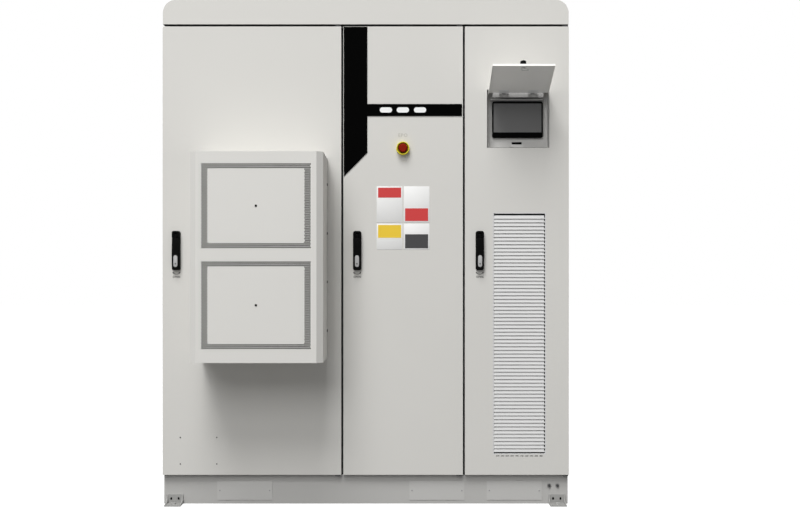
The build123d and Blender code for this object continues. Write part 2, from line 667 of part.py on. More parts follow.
def handle_lever(x):
    top = SPINDLE_Z - YOKE_HALF_HEIGHT - LEVER_GAP * 2
    bottom = HANDLE_CENTRE_Z - HANDLE_LENGTH / 2 + LEVER_GAP
    middle = (top + bottom) / 2
    narrow = YOKE_WIDTH / 2
    wide = narrow + HANDLE_BULGE / 2
    edge = Polyline((x - narrow, top), (x + narrow, top))
    edge += ThreePointArc((x + narrow, top), (x + wide, middle), (x + narrow, bottom))
    edge += Polyline((x + narrow, bottom), (x - narrow, bottom))
    edge += ThreePointArc((x - narrow, bottom), (x - wide, middle), (x - narrow, top))
    lever = front_shape(make_face(edge), LEVER_FRONT, LEVER_BACK)
    eye = Pos(LEVER_PIN_Y, SPINDLE_Z) * Circle(LEVER_EYE_RADIUS)
    neck = outline((LEVER_BACK, SPINDLE_Z), (LEVER_BACK, top), (LEVER_FRONT, top),
                   (LEVER_FRONT, SPINDLE_Z))
    lever += side_shape(eye + neck, x - LEVER_EYE_WIDTH / 2, x + LEVER_EYE_WIDTH / 2)
    bore = Circle(LEVER_PIN_RADIUS + PIN_CLEARANCE)
    lever -= side_shape(Pos(LEVER_PIN_Y, SPINDLE_Z) * bore, x - narrow, x + narrow)
    lock_z = HANDLE_CENTRE_Z - LOCK_CENTRE_DROP
    lock = Pos(x, lock_z) * Rot(0, 0, 90) * SlotOverall(LOCK_LENGTH, LOCK_WIDTH)
    return lever + front_shape(lock, LEVER_FRONT - LOCK_THICKNESS, LEVER_FRONT)


def rod_guide(x, z):
    half = GUIDE_WIDTH / 2
    guide = block(x - half, x + half, DOOR_REAR, ROD_BACK + CASE_WALL * 2, z, z + GUIDE_HEIGHT)
    gap = ROD_WIDTH / 2 + ROD_CLEARANCE
    return guide - block(x - gap, x + gap, ROD_FRONT - ROD_CLEARANCE, ROD_BACK + ROD_CLEARANCE,
                         z - 1, z + GUIDE_HEIGHT + 1)


def latch_case(x):
    half = CASE_WIDTH / 2
    tall = CASE_HEIGHT / 2
    case = block(x - half, x + half, DOOR_REAR, CASE_BACK, SPINDLE_Z - tall, SPINDLE_Z + tall)
    case -= block(x - half + CASE_WALL, x + half - CASE_WALL, DOOR_REAR + CASE_WALL,
                  CASE_BACK - CASE_WALL, SPINDLE_Z - tall + CASE_WALL,
                  SPINDLE_Z + tall - CASE_WALL)
    gap = ROD_WIDTH / 2 + ROD_CLEARANCE
    case -= block(x - gap, x + gap, ROD_FRONT - ROD_CLEARANCE, ROD_BACK + ROD_CLEARANCE,
                  SPINDLE_Z - tall - 1, SPINDLE_Z + tall + 1)
    return case - disc(x, SPINDLE_Z, SPINDLE_RADIUS + PIN_CLEARANCE, DOOR_REAR - 1,
                       DOOR_REAR + CASE_WALL + 1)


def latch_rod(x, z0, z1):
    half = ROD_WIDTH / 2
    return block(x - half, x + half, ROD_FRONT, ROD_BACK, z0, z1)


for door, x in HANDLE_X.items():
    save(f"{door}_handle_base", handle_base(x))
    save(f"{door}_handle_spindle", handle_spindle(x))
    save(f"{door}_handle_lever", handle_lever(x))
    save(f"{door}_latch_case", latch_case(x),
         rod_guide(x, DOOR_BOTTOM + GUIDE_OFFSET), rod_guide(x, DOOR_TOP - GUIDE_OFFSET))
    save(f"{door}_upper_rod", latch_rod(x, SPINDLE_Z + ROD_START, BAY_TOP + ROD_BITE))
    save(f"{door}_lower_rod", latch_rod(x, BAY_BOTTOM - ROD_BITE, SPINDLE_Z - ROD_START))

# Cooling unit: a deep housing, a bevelled cover with perforated bands, coil and fans
housing = block(COOLER_LEFT, COOLER_RIGHT, COOLER_SHOULDER, FRONT, COOLER_BOTTOM, COOLER_TOP)
housing -= block(COOLER_LEFT + SHEET, COOLER_RIGHT - SHEET, COOLER_SHOULDER - 1, FRONT - SHEET,
                 COOLER_BOTTOM + SHEET, COOLER_TOP - SHEET)
for sign in (-1, 1):
    z = cooler_z + sign * port_shift
    housing -= block(COOLER_X - AIR_PORT_WIDTH / 2, COOLER_X + AIR_PORT_WIDTH / 2,
                     FRONT - SHEET - 1, FRONT + 1, z - AIR_PORT_HEIGHT / 2,
                     z + AIR_PORT_HEIGHT / 2)
save("cooler_housing", housing)


def bevelled_plan(margin):
    left = COOLER_LEFT + margin
    right = COOLER_RIGHT - margin
    front = COOLER_FRONT + margin
    return outline((left, COOLER_SHOULDER), (left + COOLER_BEVEL_WIDTH, front),
                   (right - COOLER_BEVEL_WIDTH, front), (right, COOLER_SHOULDER))


def perforated_band(z0, z1):
    """Diamond holes along the four edges of a rectangle."""
    left = COOLER_LEFT + COOLER_PANEL_INSET
    right = COOLER_RIGHT - COOLER_PANEL_INSET
    columns = int((right - left) / PERFORATION_PITCH)
    rows = int((z1 - z0) / PERFORATION_PITCH)
    step_x = (right - left) / columns
    step_z = (z1 - z0) / rows
    diamond = Rot(0, 0, 45) * Rectangle(PERFORATION_SIZE, PERFORATION_SIZE)
    places = []
    for row in range(rows + 1):
        for column in range(columns + 1):
            if row in (0, rows) or column in (0, columns):
                places.append(Pos(left + column * step_x, z0 + row * step_z))
    return [place * diamond for place in places]


cover = plan_shape(bevelled_plan(0), COOLER_BOTTOM, COOLER_TOP)
cover -= plan_shape(bevelled_plan(SHEET), COOLER_BOTTOM + SHEET, COOLER_TOP - SHEET)
cover -= block(COOLER_LEFT + SHEET, COOLER_RIGHT - SHEET, COOLER_SHOULDER - SHEET,
               COOLER_SHOULDER + 1, COOLER_BOTTOM + SHEET, COOLER_TOP - SHEET)
holes = Sketch() + perforated_band(*UPPER_PANEL) + perforated_band(*LOWER_PANEL)
cover -= front_shape(holes, COOLER_FRONT - 1, COOLER_FRONT + SHEET + 1)
save("cooler_cover", cover)

fan_front = COOLER_SHOULDER + UNIT_GAP / 2
fan_back = fan_front + FAN_DEPTH
motor_front = fan_back + UNIT_GAP / 4
motor_back = motor_front + MOTOR_LENGTH
FAN_HEIGHTS = {"upper": sum(UPPER_PANEL) / 2, "lower": sum(LOWER_PANEL) / 2}


def fan_rotor(z):
    rotor = disc(COOLER_X, z, FAN_HUB_RADIUS, fan_front, fan_back)
    rotor += disc(COOLER_X, z, FAN_SHAFT_RADIUS, fan_back, motor_front + FAN_SHAFT_LENGTH)
    span = FAN_RADIUS - FAN_HUB_RADIUS
    middle = (fan_front + fan_back) / 2
    for index in range(FAN_BLADES):
        blade = Box(FAN_BLADE_CHORD, FAN_BLADE_THICKNESS, span + 4)
        blade = Pos(0, 0, FAN_HUB_RADIUS + span / 2 - 2) * Rot(0, 0, FAN_BLADE_TWIST) * blade
        turn = Rot(0, index * 360 / FAN_BLADES, 0)
        rotor += Pos(COOLER_X, middle, z) * turn * blade
    return rotor


for name, z in FAN_HEIGHTS.items():
    save(f"{name}_fan", fan_rotor(z))

ring_plates = []
motors = []
for z in FAN_HEIGHTS.values():
    half_height = FAN_RADIUS + FAN_RING_CLEARANCE + UNIT_GAP / 2
    plate = block(COOLER_LEFT + SHEET, COOLER_RIGHT - SHEET, fan_front, fan_front + SHEET,
                  z - half_height, z + half_height)
    opening = FAN_RADIUS + FAN_RING_CLEARANCE
    ring_plates.append(plate - disc(COOLER_X, z, opening, fan_front - 1, fan_front + SHEET + 1))
    motor = disc(COOLER_X, z, MOTOR_RADIUS, motor_front, motor_back)
    motor += block(COOLER_LEFT + SHEET, COOLER_RIGHT - SHEET, motor_back,
                   motor_back + MOTOR_BAR_DEPTH, z - MOTOR_BAR_WIDTH / 2,
                   z + MOTOR_BAR_WIDTH / 2)
    motor -= disc(COOLER_X, z, FAN_SHAFT_RADIUS + PIN_CLEARANCE, motor_front - 1,
                  motor_front + FAN_SHAFT_LENGTH + 1)
    motors.append(motor)
save("fan_ring_plates", *ring_plates)
save("fan_motors", *motors)

# Coil: upright fins between two end plates
coil_front = FRONT - SHEET - COIL_DEPTH - UNIT_GAP
coil_back = coil_front + COIL_DEPTH
coil_bottom = COOLER_BOTTOM + SHEET
coil_top = COOLER_TOP - SHEET
coil = block(COOLER_LEFT + SHEET, COOLER_RIGHT - SHEET, coil_front, coil_back,
             coil_bottom, coil_bottom + SHEET)
coil += block(COOLER_LEFT + SHEET, COOLER_RIGHT - SHEET, coil_front, coil_back,
              coil_top - SHEET, coil_top)
fin_pitch = (COOLER_RIGHT - COOLER_LEFT - UNIT_GAP) / (COIL_FINS - 1)
for index in range(COIL_FINS):
    x = COOLER_LEFT + UNIT_GAP / 2 + index * fin_pitch
    coil += block(x - SHEET / 2, x + SHEET / 2, coil_front, coil_back,
                  coil_bottom + SHEET, coil_top - SHEET)
save("cooler_coil", coil)

# Centre door: black trim, indicator lamps and the emergency stop
trim_front = FRONT - TRIM_THICKNESS
band_right = CENTRE_DOOR_RIGHT - TRIM_EDGE * 2
trim_outline = outline(
    (TRIM_LEFT, TRIM_TOP), (TRIM_LEFT, TRIM_CUT_LOW), (TRIM_STRIP_RIGHT, TRIM_CUT_HIGH),
    (TRIM_STRIP_RIGHT, TRIM_BAND_BOTTOM), (band_right, TRIM_BAND_BOTTOM),
    (band_right, TRIM_BAND_TOP), (TRIM_STRIP_RIGHT, TRIM_BAND_TOP),
    (TRIM_STRIP_RIGHT, TRIM_TOP))
trim = front_shape(trim_outline, trim_front, FRONT)
save("trim_panel", trim)

lamps = []
for x in LAMP_CENTRES:
    pill = Pos(x, LAMP_Z) * SlotOverall(LAMP_LENGTH, LAMP_HEIGHT)
    lamps.append(front_shape(pill, trim_front - LAMP_RISE, trim_front))
save("status_lamps", *lamps)

collar_front = FRONT - ESTOP_COLLAR_HEIGHT
collar = disc(ESTOP_X, ESTOP_Z, ESTOP_COLLAR_RADIUS, collar_front, FRONT)
collar = chamfer(collar.edges().group_by(Axis.Y)[0], ESTOP_COLLAR_HEIGHT / 4)
collar -= disc(ESTOP_X, ESTOP_Z, ESTOP_STEM_RADIUS + PIN_CLEARANCE, collar_front - 1, FRONT + 1)
save("estop_collar", collar)

stem_front = collar_front - ESTOP_TRAVEL - 1
head_bore = ESTOP_STEM_RADIUS / 2
stem = disc(ESTOP_X, ESTOP_Z, ESTOP_STEM_RADIUS, stem_front, stem_front + ESTOP_STEM_LENGTH)
stem += disc(ESTOP_X, ESTOP_Z, head_bore, stem_front - ESTOP_HEAD_HEIGHT / 2, stem_front)
save("estop_stem", stem)

head_front = stem_front - ESTOP_HEAD_HEIGHT
head = disc(ESTOP_X, ESTOP_Z, ESTOP_HEAD_RADIUS, head_front, stem_front)
head = chamfer(head.edges().group_by(Axis.Y)[0], ESTOP_HEAD_HEIGHT / 3)
head -= disc(ESTOP_X, ESTOP_Z, head_bore + PIN_CLEARANCE,
             stem_front - ESTOP_HEAD_HEIGHT / 2, stem_front + 1)
save("estop_head", head)

# Operator pocket: a sheet box in the door with a drip edge and a lock keeper
pocket = block(POCKET_LEFT - POCKET_WALL, POCKET_RIGHT + POCKET_WALL, FRONT + SHEET,
               POCKET_BACK + POCKET_WALL, POCKET_BOTTOM - POCKET_WALL, POCKET_TOP + POCKET_WALL)
pocket -= block(POCKET_LEFT, POCKET_RIGHT, FRONT, POCKET_BACK, POCKET_BOTTOM, POCKET_TOP)
drip_z = DISPLAY_Z + DISPLAY_HEIGHT / 2 + DRIP_GAP
pocket += block(DISPLAY_X - DISPLAY_WIDTH / 2 - LID_FLANGE, DISPLAY_X + DISPLAY_WIDTH / 2,
                FRONT + DRIP_REACH, POCKET_BACK, drip_z, drip_z + POCKET_WALL)
keeper_y = FRONT + LID_FLANGE + POCKET_WALL
pocket += block(POCKET_X - KEEPER_WIDTH / 2, POCKET_X + KEEPER_WIDTH / 2, keeper_y,
                keeper_y + POCKET_WALL, POCKET_BOTTOM, POCKET_BOTTOM + KEEPER_HEIGHT)
save("operator_pocket", pocket)

display_front = POCKET_BACK - DISPLAY_THICKNESS
bezel = RectangleRounded(DISPLAY_WIDTH, DISPLAY_HEIGHT, DISPLAY_CORNER)
display = front_shape(Pos(DISPLAY_X, DISPLAY_Z) * bezel, display_front, POCKET_BACK)
screen = Pos(DISPLAY_X, DISPLAY_Z + SCREEN_RISE) * Rectangle(SCREEN_WIDTH, SCREEN_HEIGHT)
display -= front_shape(screen, display_front - 1, display_front + SCREEN_THICKNESS)
save("display_unit", display)
save("display_glass", front_shape(screen, display_front, display_front + SCREEN_THICKNESS))


# Lid over the pocket: drawn closed, then swung open about its hinge
def opened(shape):
    hinge = Pos(0, LID_AXIS_Y, LID_AXIS_Z)
    return hinge * Rot(-LID_OPEN_ANGLE, 0, 0) * Pos(0, -LID_AXIS_Y, -LID_AXIS_Z) * shape


lid_top = LID_AXIS_Z - LID_AXIS_MARGIN
lid_bottom = lid_top - LID_LENGTH
lid_left = POCKET_X - LID_WIDTH / 2
lid_right = POCKET_X + LID_WIDTH / 2
lid_back = FRONT + LID_SHEET
lid = block(lid_left, lid_right, FRONT, FRONT + LID_FLANGE, lid_bottom, lid_top)
lid -= block(lid_left + LID_SHEET, lid_right - LID_SHEET, lid_back, FRONT + LID_FLANGE + 1,
             lid_bottom + LID_SHEET, lid_top + 1)
lock_z = lid_bottom + LID_LOCK_RISE
lid -= disc(POCKET_X, lock_z, LID_LOCK_RADIUS + PIN_CLEARANCE, FRONT - 1, lid_back + 1)
save("pocket_lid", opened(lid))

strip_y = lid_back + LID_SHEET + SEAT_CLEARANCE * 2
strip = block(POCKET_X - STRIP_WIDTH / 2, POCKET_X + STRIP_WIDTH / 2, strip_y,
              strip_y + POCKET_WALL, POCKET_TOP - STRIP_HEIGHT, POCKET_TOP)
moving_leaves = []
knuckle = Pos(LID_AXIS_Y, LID_AXIS_Z) * Circle(KNUCKLE_RADIUS)
hinge_pin = Pos(LID_AXIS_Y, LID_AXIS_Z) * Circle(HINGE_PIN_RADIUS)
pin_bore = Pos(LID_AXIS_Y, LID_AXIS_Z) * Circle(HINGE_PIN_RADIUS + PIN_CLEARANCE)
for sign in (-1, 1):
    x = POCKET_X + sign * HINGE_SPACING / 2
    third = HINGE_WIDTH / 6
    arm = outline((LID_AXIS_Y, LID_AXIS_Z), (LID_AXIS_Y, LID_AXIS_Z + KNUCKLE_RADIUS),
                  (strip_y, LID_AXIS_Z + KNUCKLE_RADIUS), (strip_y, LID_AXIS_Z))
    strip += side_shape(knuckle + arm, x - third, x + third)
    strip += side_shape(hinge_pin, x - 3 * third, x + 3 * third)
    leaf = block(x - 3 * third, x + 3 * third, lid_back, lid_back + LID_SHEET,
                 lid_top - HINGE_LEAF_LENGTH, lid_top)
    link = outline((LID_AXIS_Y - KNUCKLE_RADIUS, LID_AXIS_Z),
                   (LID_AXIS_Y + KNUCKLE_RADIUS, LID_AXIS_Z),
                   (lid_back + LID_SHEET, lid_top), (lid_back, lid_top))
    for low, high in ((-3 * third, -third - SEAT_CLEARANCE), (third + SEAT_CLEARANCE, 3 * third)):
        leaf += side_shape(knuckle + link, x + low, x + high)
    leaf -= side_shape(pin_bore, x - 4 * third, x + 4 * third)
    moving_leaves.append(opened(leaf))
save("lid_hinge_strip", strip)
save("lid_hinge_leaves", *moving_leaves)

lock = disc(POCKET_X, lock_z, LID_LOCK_RADIUS, FRONT, FRONT + LID_LOCK_DEPTH)
lock += disc(POCKET_X, lock_z, LID_KNOB_RADIUS, FRONT - LID_KNOB_RISE,
             FRONT - SEAT_CLEARANCE)
lock += disc(POCKET_X, lock_z, LID_LOCK_RADIUS, FRONT - SEAT_CLEARANCE, FRONT)
cam_y = FRONT + LID_LOCK_DEPTH
lock += block(POCKET_X - LID_CAM_WIDTH / 2, POCKET_X + LID_CAM_LENGTH, cam_y,
              cam_y + LID_CAM_THICKNESS, lock_z - LID_CAM_WIDTH / 2, lock_z + LID_CAM_WIDTH / 2)
save("lid_lock", opened(lock))

# Louvre panel: a frame in the door with sloping blades, and the air filter behind it
louvre_back = FRONT + SHEET + BLADE_REACH
grille_frame = block(LOUVRE_LEFT, LOUVRE_RIGHT, FRONT, louvre_back, LOUVRE_BOTTOM, LOUVRE_TOP)
grille_frame -= block(LOUVRE_LEFT + LOUVRE_BORDER, LOUVRE_RIGHT - LOUVRE_BORDER, FRONT - 1,
                      louvre_back + 1, LOUVRE_BOTTOM + LOUVRE_BORDER, LOUVRE_TOP - LOUVRE_BORDER)
blades = []
inner_height = LOUVRE_TOP - LOUVRE_BOTTOM - 2 * LOUVRE_BORDER
blade_count = int(inner_height / BLADE_PITCH)
first_blade = LOUVRE_BOTTOM + LOUVRE_BORDER + (inner_height - blade_count * BLADE_PITCH) / 2
blade_side = outline((0, 0), (BLADE_REACH, BLADE_DROP),
                     (BLADE_REACH, BLADE_DROP + BLADE_THICKNESS), (0, BLADE_THICKNESS))
for index in range(blade_count):
    z = first_blade + index * BLADE_PITCH
    blades.append(side_shape(Pos(FRONT + 1, z) * blade_side, LOUVRE_LEFT + LOUVRE_BORDER,
                             LOUVRE_RIGHT - LOUVRE_BORDER))
save("louvre_grille", grille_frame, *blades)

filter_pad = block(LOUVRE_LEFT, LOUVRE_RIGHT, louvre_back, louvre_back + FILTER_THICKNESS,
                   LOUVRE_BOTTOM, LOUVRE_TOP)
save("air_filter", filter_pad)

# Battery racks: four angle uprights and a pair of runners under each module
rack_bottom = FLOOR_TOP
rack_top = MODULE_FIRST_Z + MODULE_COUNT * MODULE_PITCH


def battery_rack(x0, x1):
    pieces = []
    for x_out, inward in ((x0, 1), (x1, -1)):
        for y_out, back in ((RACK_FRONT, 1), (RACK_REAR, -1)):
            angle = block(*sorted((x_out, x_out + inward * RACK_ANGLE)),
                          *sorted((y_out, y_out + back * RACK_ANGLE)), rack_bottom, rack_top)
            angle -= block(*sorted((x_out + inward * RACK_WALL, x_out + inward * RACK_ANGLE * 2)),
                           *sorted((y_out + back * RACK_WALL, y_out + back * RACK_ANGLE * 2)),
                           rack_bottom - 1, rack_top + 1)
            pieces.append(angle)
        for index in range(MODULE_COUNT):
            z = MODULE_FIRST_Z + index * MODULE_PITCH
            inner = x_out + inward * RACK_WALL
            runner = block(*sorted((inner, x_out + inward * RACK_ANGLE)),
                           RACK_FRONT + RACK_WALL, RACK_REAR - RACK_WALL, z - RUNNER_DROP, z)
            pieces.append(runner)
    return pieces


def battery_module(x0, x1, z):
    y0 = RACK_FRONT + RACK_WALL + SEAT_CLEARANCE
    y1 = RACK_REAR - RACK_WALL - SEAT_CLEARANCE
    body = block(x0, x1, y0, y1, z, z + MODULE_HEIGHT)
    grip = MODULE_HEIGHT / 4
    for x in (x0 + 1.6 * RACK_ANGLE, x1 - 1.6 * RACK_ANGLE):
        handle = block(x - SHEET * 3, x + SHEET * 3, y0 - UNIT_GAP, y0, z + grip, z + 3 * grip)
        handle -= block(x - SHEET * 4, x + SHEET * 4, y0 - UNIT_GAP + SHEET * 4, y0,
                        z + grip + SHEET * 4, z + 3 * grip - SHEET * 4)
        body += handle
    return body


racks = []
modules = []
for door in ("left", "centre"):
    x0, x1 = BAYS[door]
    racks.extend(battery_rack(x0, x1))
    for index in range(MODULE_COUNT):
        z = MODULE_FIRST_Z + index * MODULE_PITCH
        modules.append(battery_module(x0 + RACK_WALL * 2, x1 - RACK_WALL * 2, z))
save("battery_modules", *modules)

# Right bay: power converter behind the louvre, control unit above it
converter_left = right_bay[0] + UNIT_GAP / 2
converter_right = right_bay[1] - UNIT_GAP / 2
converter = block(converter_left, converter_right, RACK_FRONT, RACK_REAR, FLOOR_TOP,
                  CONVERTER_TOP)
fin_step = (converter_right - converter_left) / FIN_COUNT
for index in range(FIN_COUNT):
    x = converter_left + (index + 0.5) * fin_step
    converter -= block(x - fin_step / 4, x + fin_step / 4, RACK_FRONT - 1,
                       RACK_FRONT + UNIT_GAP, FLOOR_TOP + UNIT_GAP, CONVERTER_TOP - UNIT_GAP)
converter -= block(converter_left + CASING_WALL, converter_right - CASING_WALL,
                   RACK_FRONT + UNIT_GAP + CASING_WALL, RACK_REAR - CASING_WALL,
                   FLOOR_TOP + CASING_WALL, CONVERTER_TOP - CASING_WALL)
save("power_converter", converter)

shelf = block((centre_bay[1] + right_bay[0]) / 2 + PARTITION / 2, BODY_SIDE, RACK_FRONT,
              RACK_REAR, CONTROL_BOTTOM - FLOOR_THICKNESS, CONTROL_BOTTOM)
save("inner_racks", shelf, *racks)
control_top = BAY_TOP - UNIT_GAP * 4
control = block(converter_left, converter_right, RACK_FRONT + UNIT_GAP, RACK_REAR - UNIT_GAP,
                CONTROL_BOTTOM, control_top)
control = chamfer(control.edges().filter_by(Axis.Z), UNIT_GAP / 4)
control -= block(converter_left + CASING_WALL, converter_right - CASING_WALL,
                 RACK_FRONT + UNIT_GAP + CASING_WALL, RACK_REAR - UNIT_GAP - CASING_WALL,
                 CONTROL_BOTTOM + CASING_WALL, control_top - CASING_WALL)
save("control_unit", control)
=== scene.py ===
import bpy
import bmesh
import json
import math
from mathutils import Matrix, Vector


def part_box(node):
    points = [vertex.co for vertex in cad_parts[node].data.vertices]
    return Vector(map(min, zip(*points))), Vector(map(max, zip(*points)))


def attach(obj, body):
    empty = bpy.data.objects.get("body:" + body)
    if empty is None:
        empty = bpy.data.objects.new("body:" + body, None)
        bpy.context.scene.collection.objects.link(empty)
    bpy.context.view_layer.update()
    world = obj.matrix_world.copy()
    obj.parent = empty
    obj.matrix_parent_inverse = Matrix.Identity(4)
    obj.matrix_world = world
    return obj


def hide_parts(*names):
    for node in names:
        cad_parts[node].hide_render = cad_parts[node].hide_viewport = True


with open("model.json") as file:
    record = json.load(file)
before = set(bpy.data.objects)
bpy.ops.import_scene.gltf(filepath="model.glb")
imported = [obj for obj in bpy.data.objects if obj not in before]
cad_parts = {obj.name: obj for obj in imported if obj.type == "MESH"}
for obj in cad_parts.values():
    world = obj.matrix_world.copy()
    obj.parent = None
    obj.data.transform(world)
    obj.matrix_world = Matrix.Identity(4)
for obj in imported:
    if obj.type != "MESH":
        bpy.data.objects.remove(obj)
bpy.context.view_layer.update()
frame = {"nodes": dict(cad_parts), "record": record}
doors = ("left", "centre", "right")


# Powder coat on folded steel sheet: the doors, roof, sides, cooling unit and lid.
# A light warm grey with a very fine orange-peel grain and faint cloudiness.
def math_node(tree, operation, *sources):
    """A Math node whose inputs are linked to sockets or set to numbers; gives its output."""
    node = tree.nodes.new("ShaderNodeMath")
    node.operation = operation
    for socket, source in zip(node.inputs, sources):
        if isinstance(source, (int, float)):
            socket.default_value = source
        else:
            tree.links.new(source, socket)
    return node.outputs[0]


def noise_node(tree, place, scale, detail):
    """A noise texture on a place and a scale socket; gives its output."""
    noise = tree.nodes.new("ShaderNodeTexNoise")
    noise.inputs["Detail"].default_value = detail
    tree.links.new(place, noise.inputs["Vector"])
    tree.links.new(scale, noise.inputs["Scale"])
    return noise.outputs["Fac"]


def surface_detail_group():
    """Node group: slow colour variation, roughness spread and a fine grain."""
    group = bpy.data.node_groups.new("surface_detail", "ShaderNodeTree")
    for socket, kind in (("Colour", "NodeSocketColor"), ("Variation", "NodeSocketFloat"),
                         ("Cloud Scale", "NodeSocketFloat"), ("Roughness", "NodeSocketFloat"),
                         ("Grain Scale", "NodeSocketFloat"), ("Grain", "NodeSocketFloat")):
        group.interface.new_socket(socket, in_out="INPUT", socket_type=kind)
    for socket, kind in (("Colour", "NodeSocketColor"), ("Roughness", "NodeSocketFloat"),
                         ("Normal", "NodeSocketVector")):
        group.interface.new_socket(socket, in_out="OUTPUT", socket_type=kind)
    nodes, links = group.nodes, group.links
    given = nodes.new("NodeGroupInput").outputs
    result = nodes.new("NodeGroupOutput").inputs
    place = nodes.new("ShaderNodeTexCoord").outputs["Object"]
    clouds = noise_node(group, place, given["Cloud Scale"], 4)
    centred = math_node(group, "SUBTRACT", clouds, 0.5)
    amount = math_node(group, "MULTIPLY", centred, given["Variation"])
    tint = nodes.new("ShaderNodeVectorMath")
    tint.operation = "SCALE"
    links.new(given["Colour"], tint.inputs[0])
    links.new(math_node(group, "ADD", amount, 1), tint.inputs["Scale"])
    links.new(tint.outputs[0], result["Colour"])
    links.new(math_node(group, "ADD", given["Roughness"], amount), result["Roughness"])
    grain = noise_node(group, place, given["Grain Scale"], 2)
    bump = nodes.new("ShaderNodeBump")
    bump.inputs["Distance"].default_value = 0.0003
    links.new(given["Grain"], bump.inputs["Strength"])
    links.new(grain, bump.inputs["Height"])
    links.new(bump.outputs["Normal"], result["Normal"])
    return group


surface_detail = surface_detail_group()


def finish(name, colour, roughness, metallic=0.0, variation=0.04, cloud_scale=2.0,
           grain_scale=900.0, grain=0.15, specular=0.5):
    """A Principled material whose colour, roughness and grain come from the group."""
    material = bpy.data.materials.new(name)
    material.use_nodes = True
    nodes, links = material.node_tree.nodes, material.node_tree.links
    shader = nodes["Principled BSDF"]
    detail = nodes.new("ShaderNodeGroup")
    detail.node_tree = surface_detail
    for socket, value in (("Colour", (*colour, 1)), ("Variation", variation),
                          ("Cloud Scale", cloud_scale), ("Roughness", roughness),
                          ("Grain Scale", grain_scale), ("Grain", grain)):
        detail.inputs[socket].default_value = value
    for socket, target in (("Colour", "Base Color"), ("Roughness", "Roughness"),
                           ("Normal", "Normal")):
        links.new(detail.outputs[socket], shader.inputs[target])
    shader.inputs["Metallic"].default_value = metallic
    shader.inputs["Specular IOR Level"].default_value = specular
    return material


def dress(material, *nodes):
    """Gives a material to CAD nodes that keep their own shape."""
    for node in nodes:
        mesh = frame["nodes"][node].data
        mesh.materials.clear()
        mesh.materials.append(material)


powder_coat = finish("powder_coat", (0.655, 0.645, 0.615), 0.6, specular=0.15)
dress(powder_coat, "left_door_panel", "centre_door_panel", "right_door_panel", "side_panels",
      "rear_panel", "roof_cover")
# The cooling unit gets a slightly lighter copy of the powder coat: painted light that brightens its
# chamfers and side walls.
cooler_painted_light_coat = finish("cooler_painted_light_coat", (0.695, 0.685, 0.655), 0.6, specular=0.15)
dress(cooler_painted_light_coat, "cooler_housing")
# The open lid gets a much lighter copy of the powder coat: painted light that brightens its shaded
# underside.
lid_painted_light_coat = finish("lid_painted_light_coat", (0.90, 0.89, 0.86), 0.6, specular=0.1)
dress(lid_painted_light_coat, "pocket_lid")

# Inner steelwork: dark coated channels, partitions, deck and racks, and foamed gaskets.
# They only show in the seams and with the doors open.
dark_coat = finish("dark_coat", (0.035, 0.035, 0.037), 0.6, variation=0.2)
dress(dark_coat, "front_frame", "rear_posts", "top_deck", "floor_plate", "bay_partitions",
      "pivot_brackets", "inner_racks", "fan_ring_plates")
# The same black rubber material also draws the painted shade strips under the roof and round the
# pocket.
rubber_and_painted_shade = finish("rubber_and_painted_shade", (0.012, 0.012, 0.012), 0.85, grain_scale=400, grain=0.5)
dress(rubber_and_painted_shade, "door_gaskets")
zinc = finish("bright_zinc", (0.56, 0.56, 0.55), 0.32, metallic=0.9, variation=0.2,
              cloud_scale=40, grain_scale=300, grain=0.1)
dress(zinc, "lid_lock", "estop_stem",
      *(f"{door}_{piece}" for door in doors
        for piece in ("latch_case", "upper_rod", "lower_rod")))

# Plinth: a folded base with flush access covers held by two small screws each, and folded anchor
# feet.
# The plinth and its covers are the doors' grey darkened: painted shade of the doors' overhang.
plinth_painted_shade_coat = finish("plinth_painted_shade_coat", (0.46, 0.455, 0.44), 0.6, specular=0.3)
plinth_cover_painted_shade_coat = finish("plinth_cover_painted_shade_coat", (0.50, 0.495, 0.48), 0.55, specular=0.3)
bracket_coat = finish("bracket_coat", (0.33, 0.328, 0.318), 0.6, specular=0.2)
dress(plinth_painted_shade_coat, "plinth")
dress(bracket_coat, "anchor_brackets", "earth_points")
dress(plinth_cover_painted_shade_coat, "plinth_covers")


def clear_selection():
    """Object mode with nothing selected."""
    if bpy.context.object and bpy.context.object.mode == "EDIT":
        bpy.ops.object.mode_set(mode="OBJECT")
    bpy.ops.object.select_all(action="DESELECT")


def settle(name, body, material, bevel=0.0, segments=2, angle=40):
    """Names the new piece, puts its place into its mesh, rounds its edges and lets it ride."""
    piece = bpy.context.object
    piece.name = name
    piece.data.name = name
    bpy.ops.object.transform_apply(location=True, rotation=True, scale=True)
    if bevel:
        edge = piece.modifiers.new("edge", "BEVEL")
        edge.width = bevel
        edge.segments = segments
        edge.limit_method = "ANGLE"
        edge.angle_limit = math.radians(30)
        bpy.ops.object.modifier_apply(modifier=edge.name)
    piece.data.materials.clear()
    piece.data.materials.append(material)
    bpy.ops.object.shade_smooth_by_angle(angle=math.radians(angle))
    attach(piece, body)
    return piece


def add_plate(low, high):
    """A box between two corners, ready to be shaped."""
    clear_selection()
    centre = [(a + b) / 2 for a, b in zip(low, high)]
    bpy.ops.mesh.primitive_cube_add(size=1, location=centre)
    bpy.context.object.scale = [b - a for a, b in zip(low, high)]
    bpy.ops.object.transform_apply(location=True, rotation=True, scale=True)
    return bpy.context.object


def add_disc(x, y_front, y_back, z, radius, vertices=32):
    """A round bar along Y between two depths."""
    clear_selection()
    bpy.ops.mesh.primitive_cylinder_add(
        vertices=vertices, radius=radius, depth=y_back - y_front,
        location=(x, (y_front + y_back) / 2, z), rotation=(math.pi / 2, 0, 0))
    bpy.ops.object.transform_apply(location=True, rotation=True, scale=True)
    return bpy.context.object


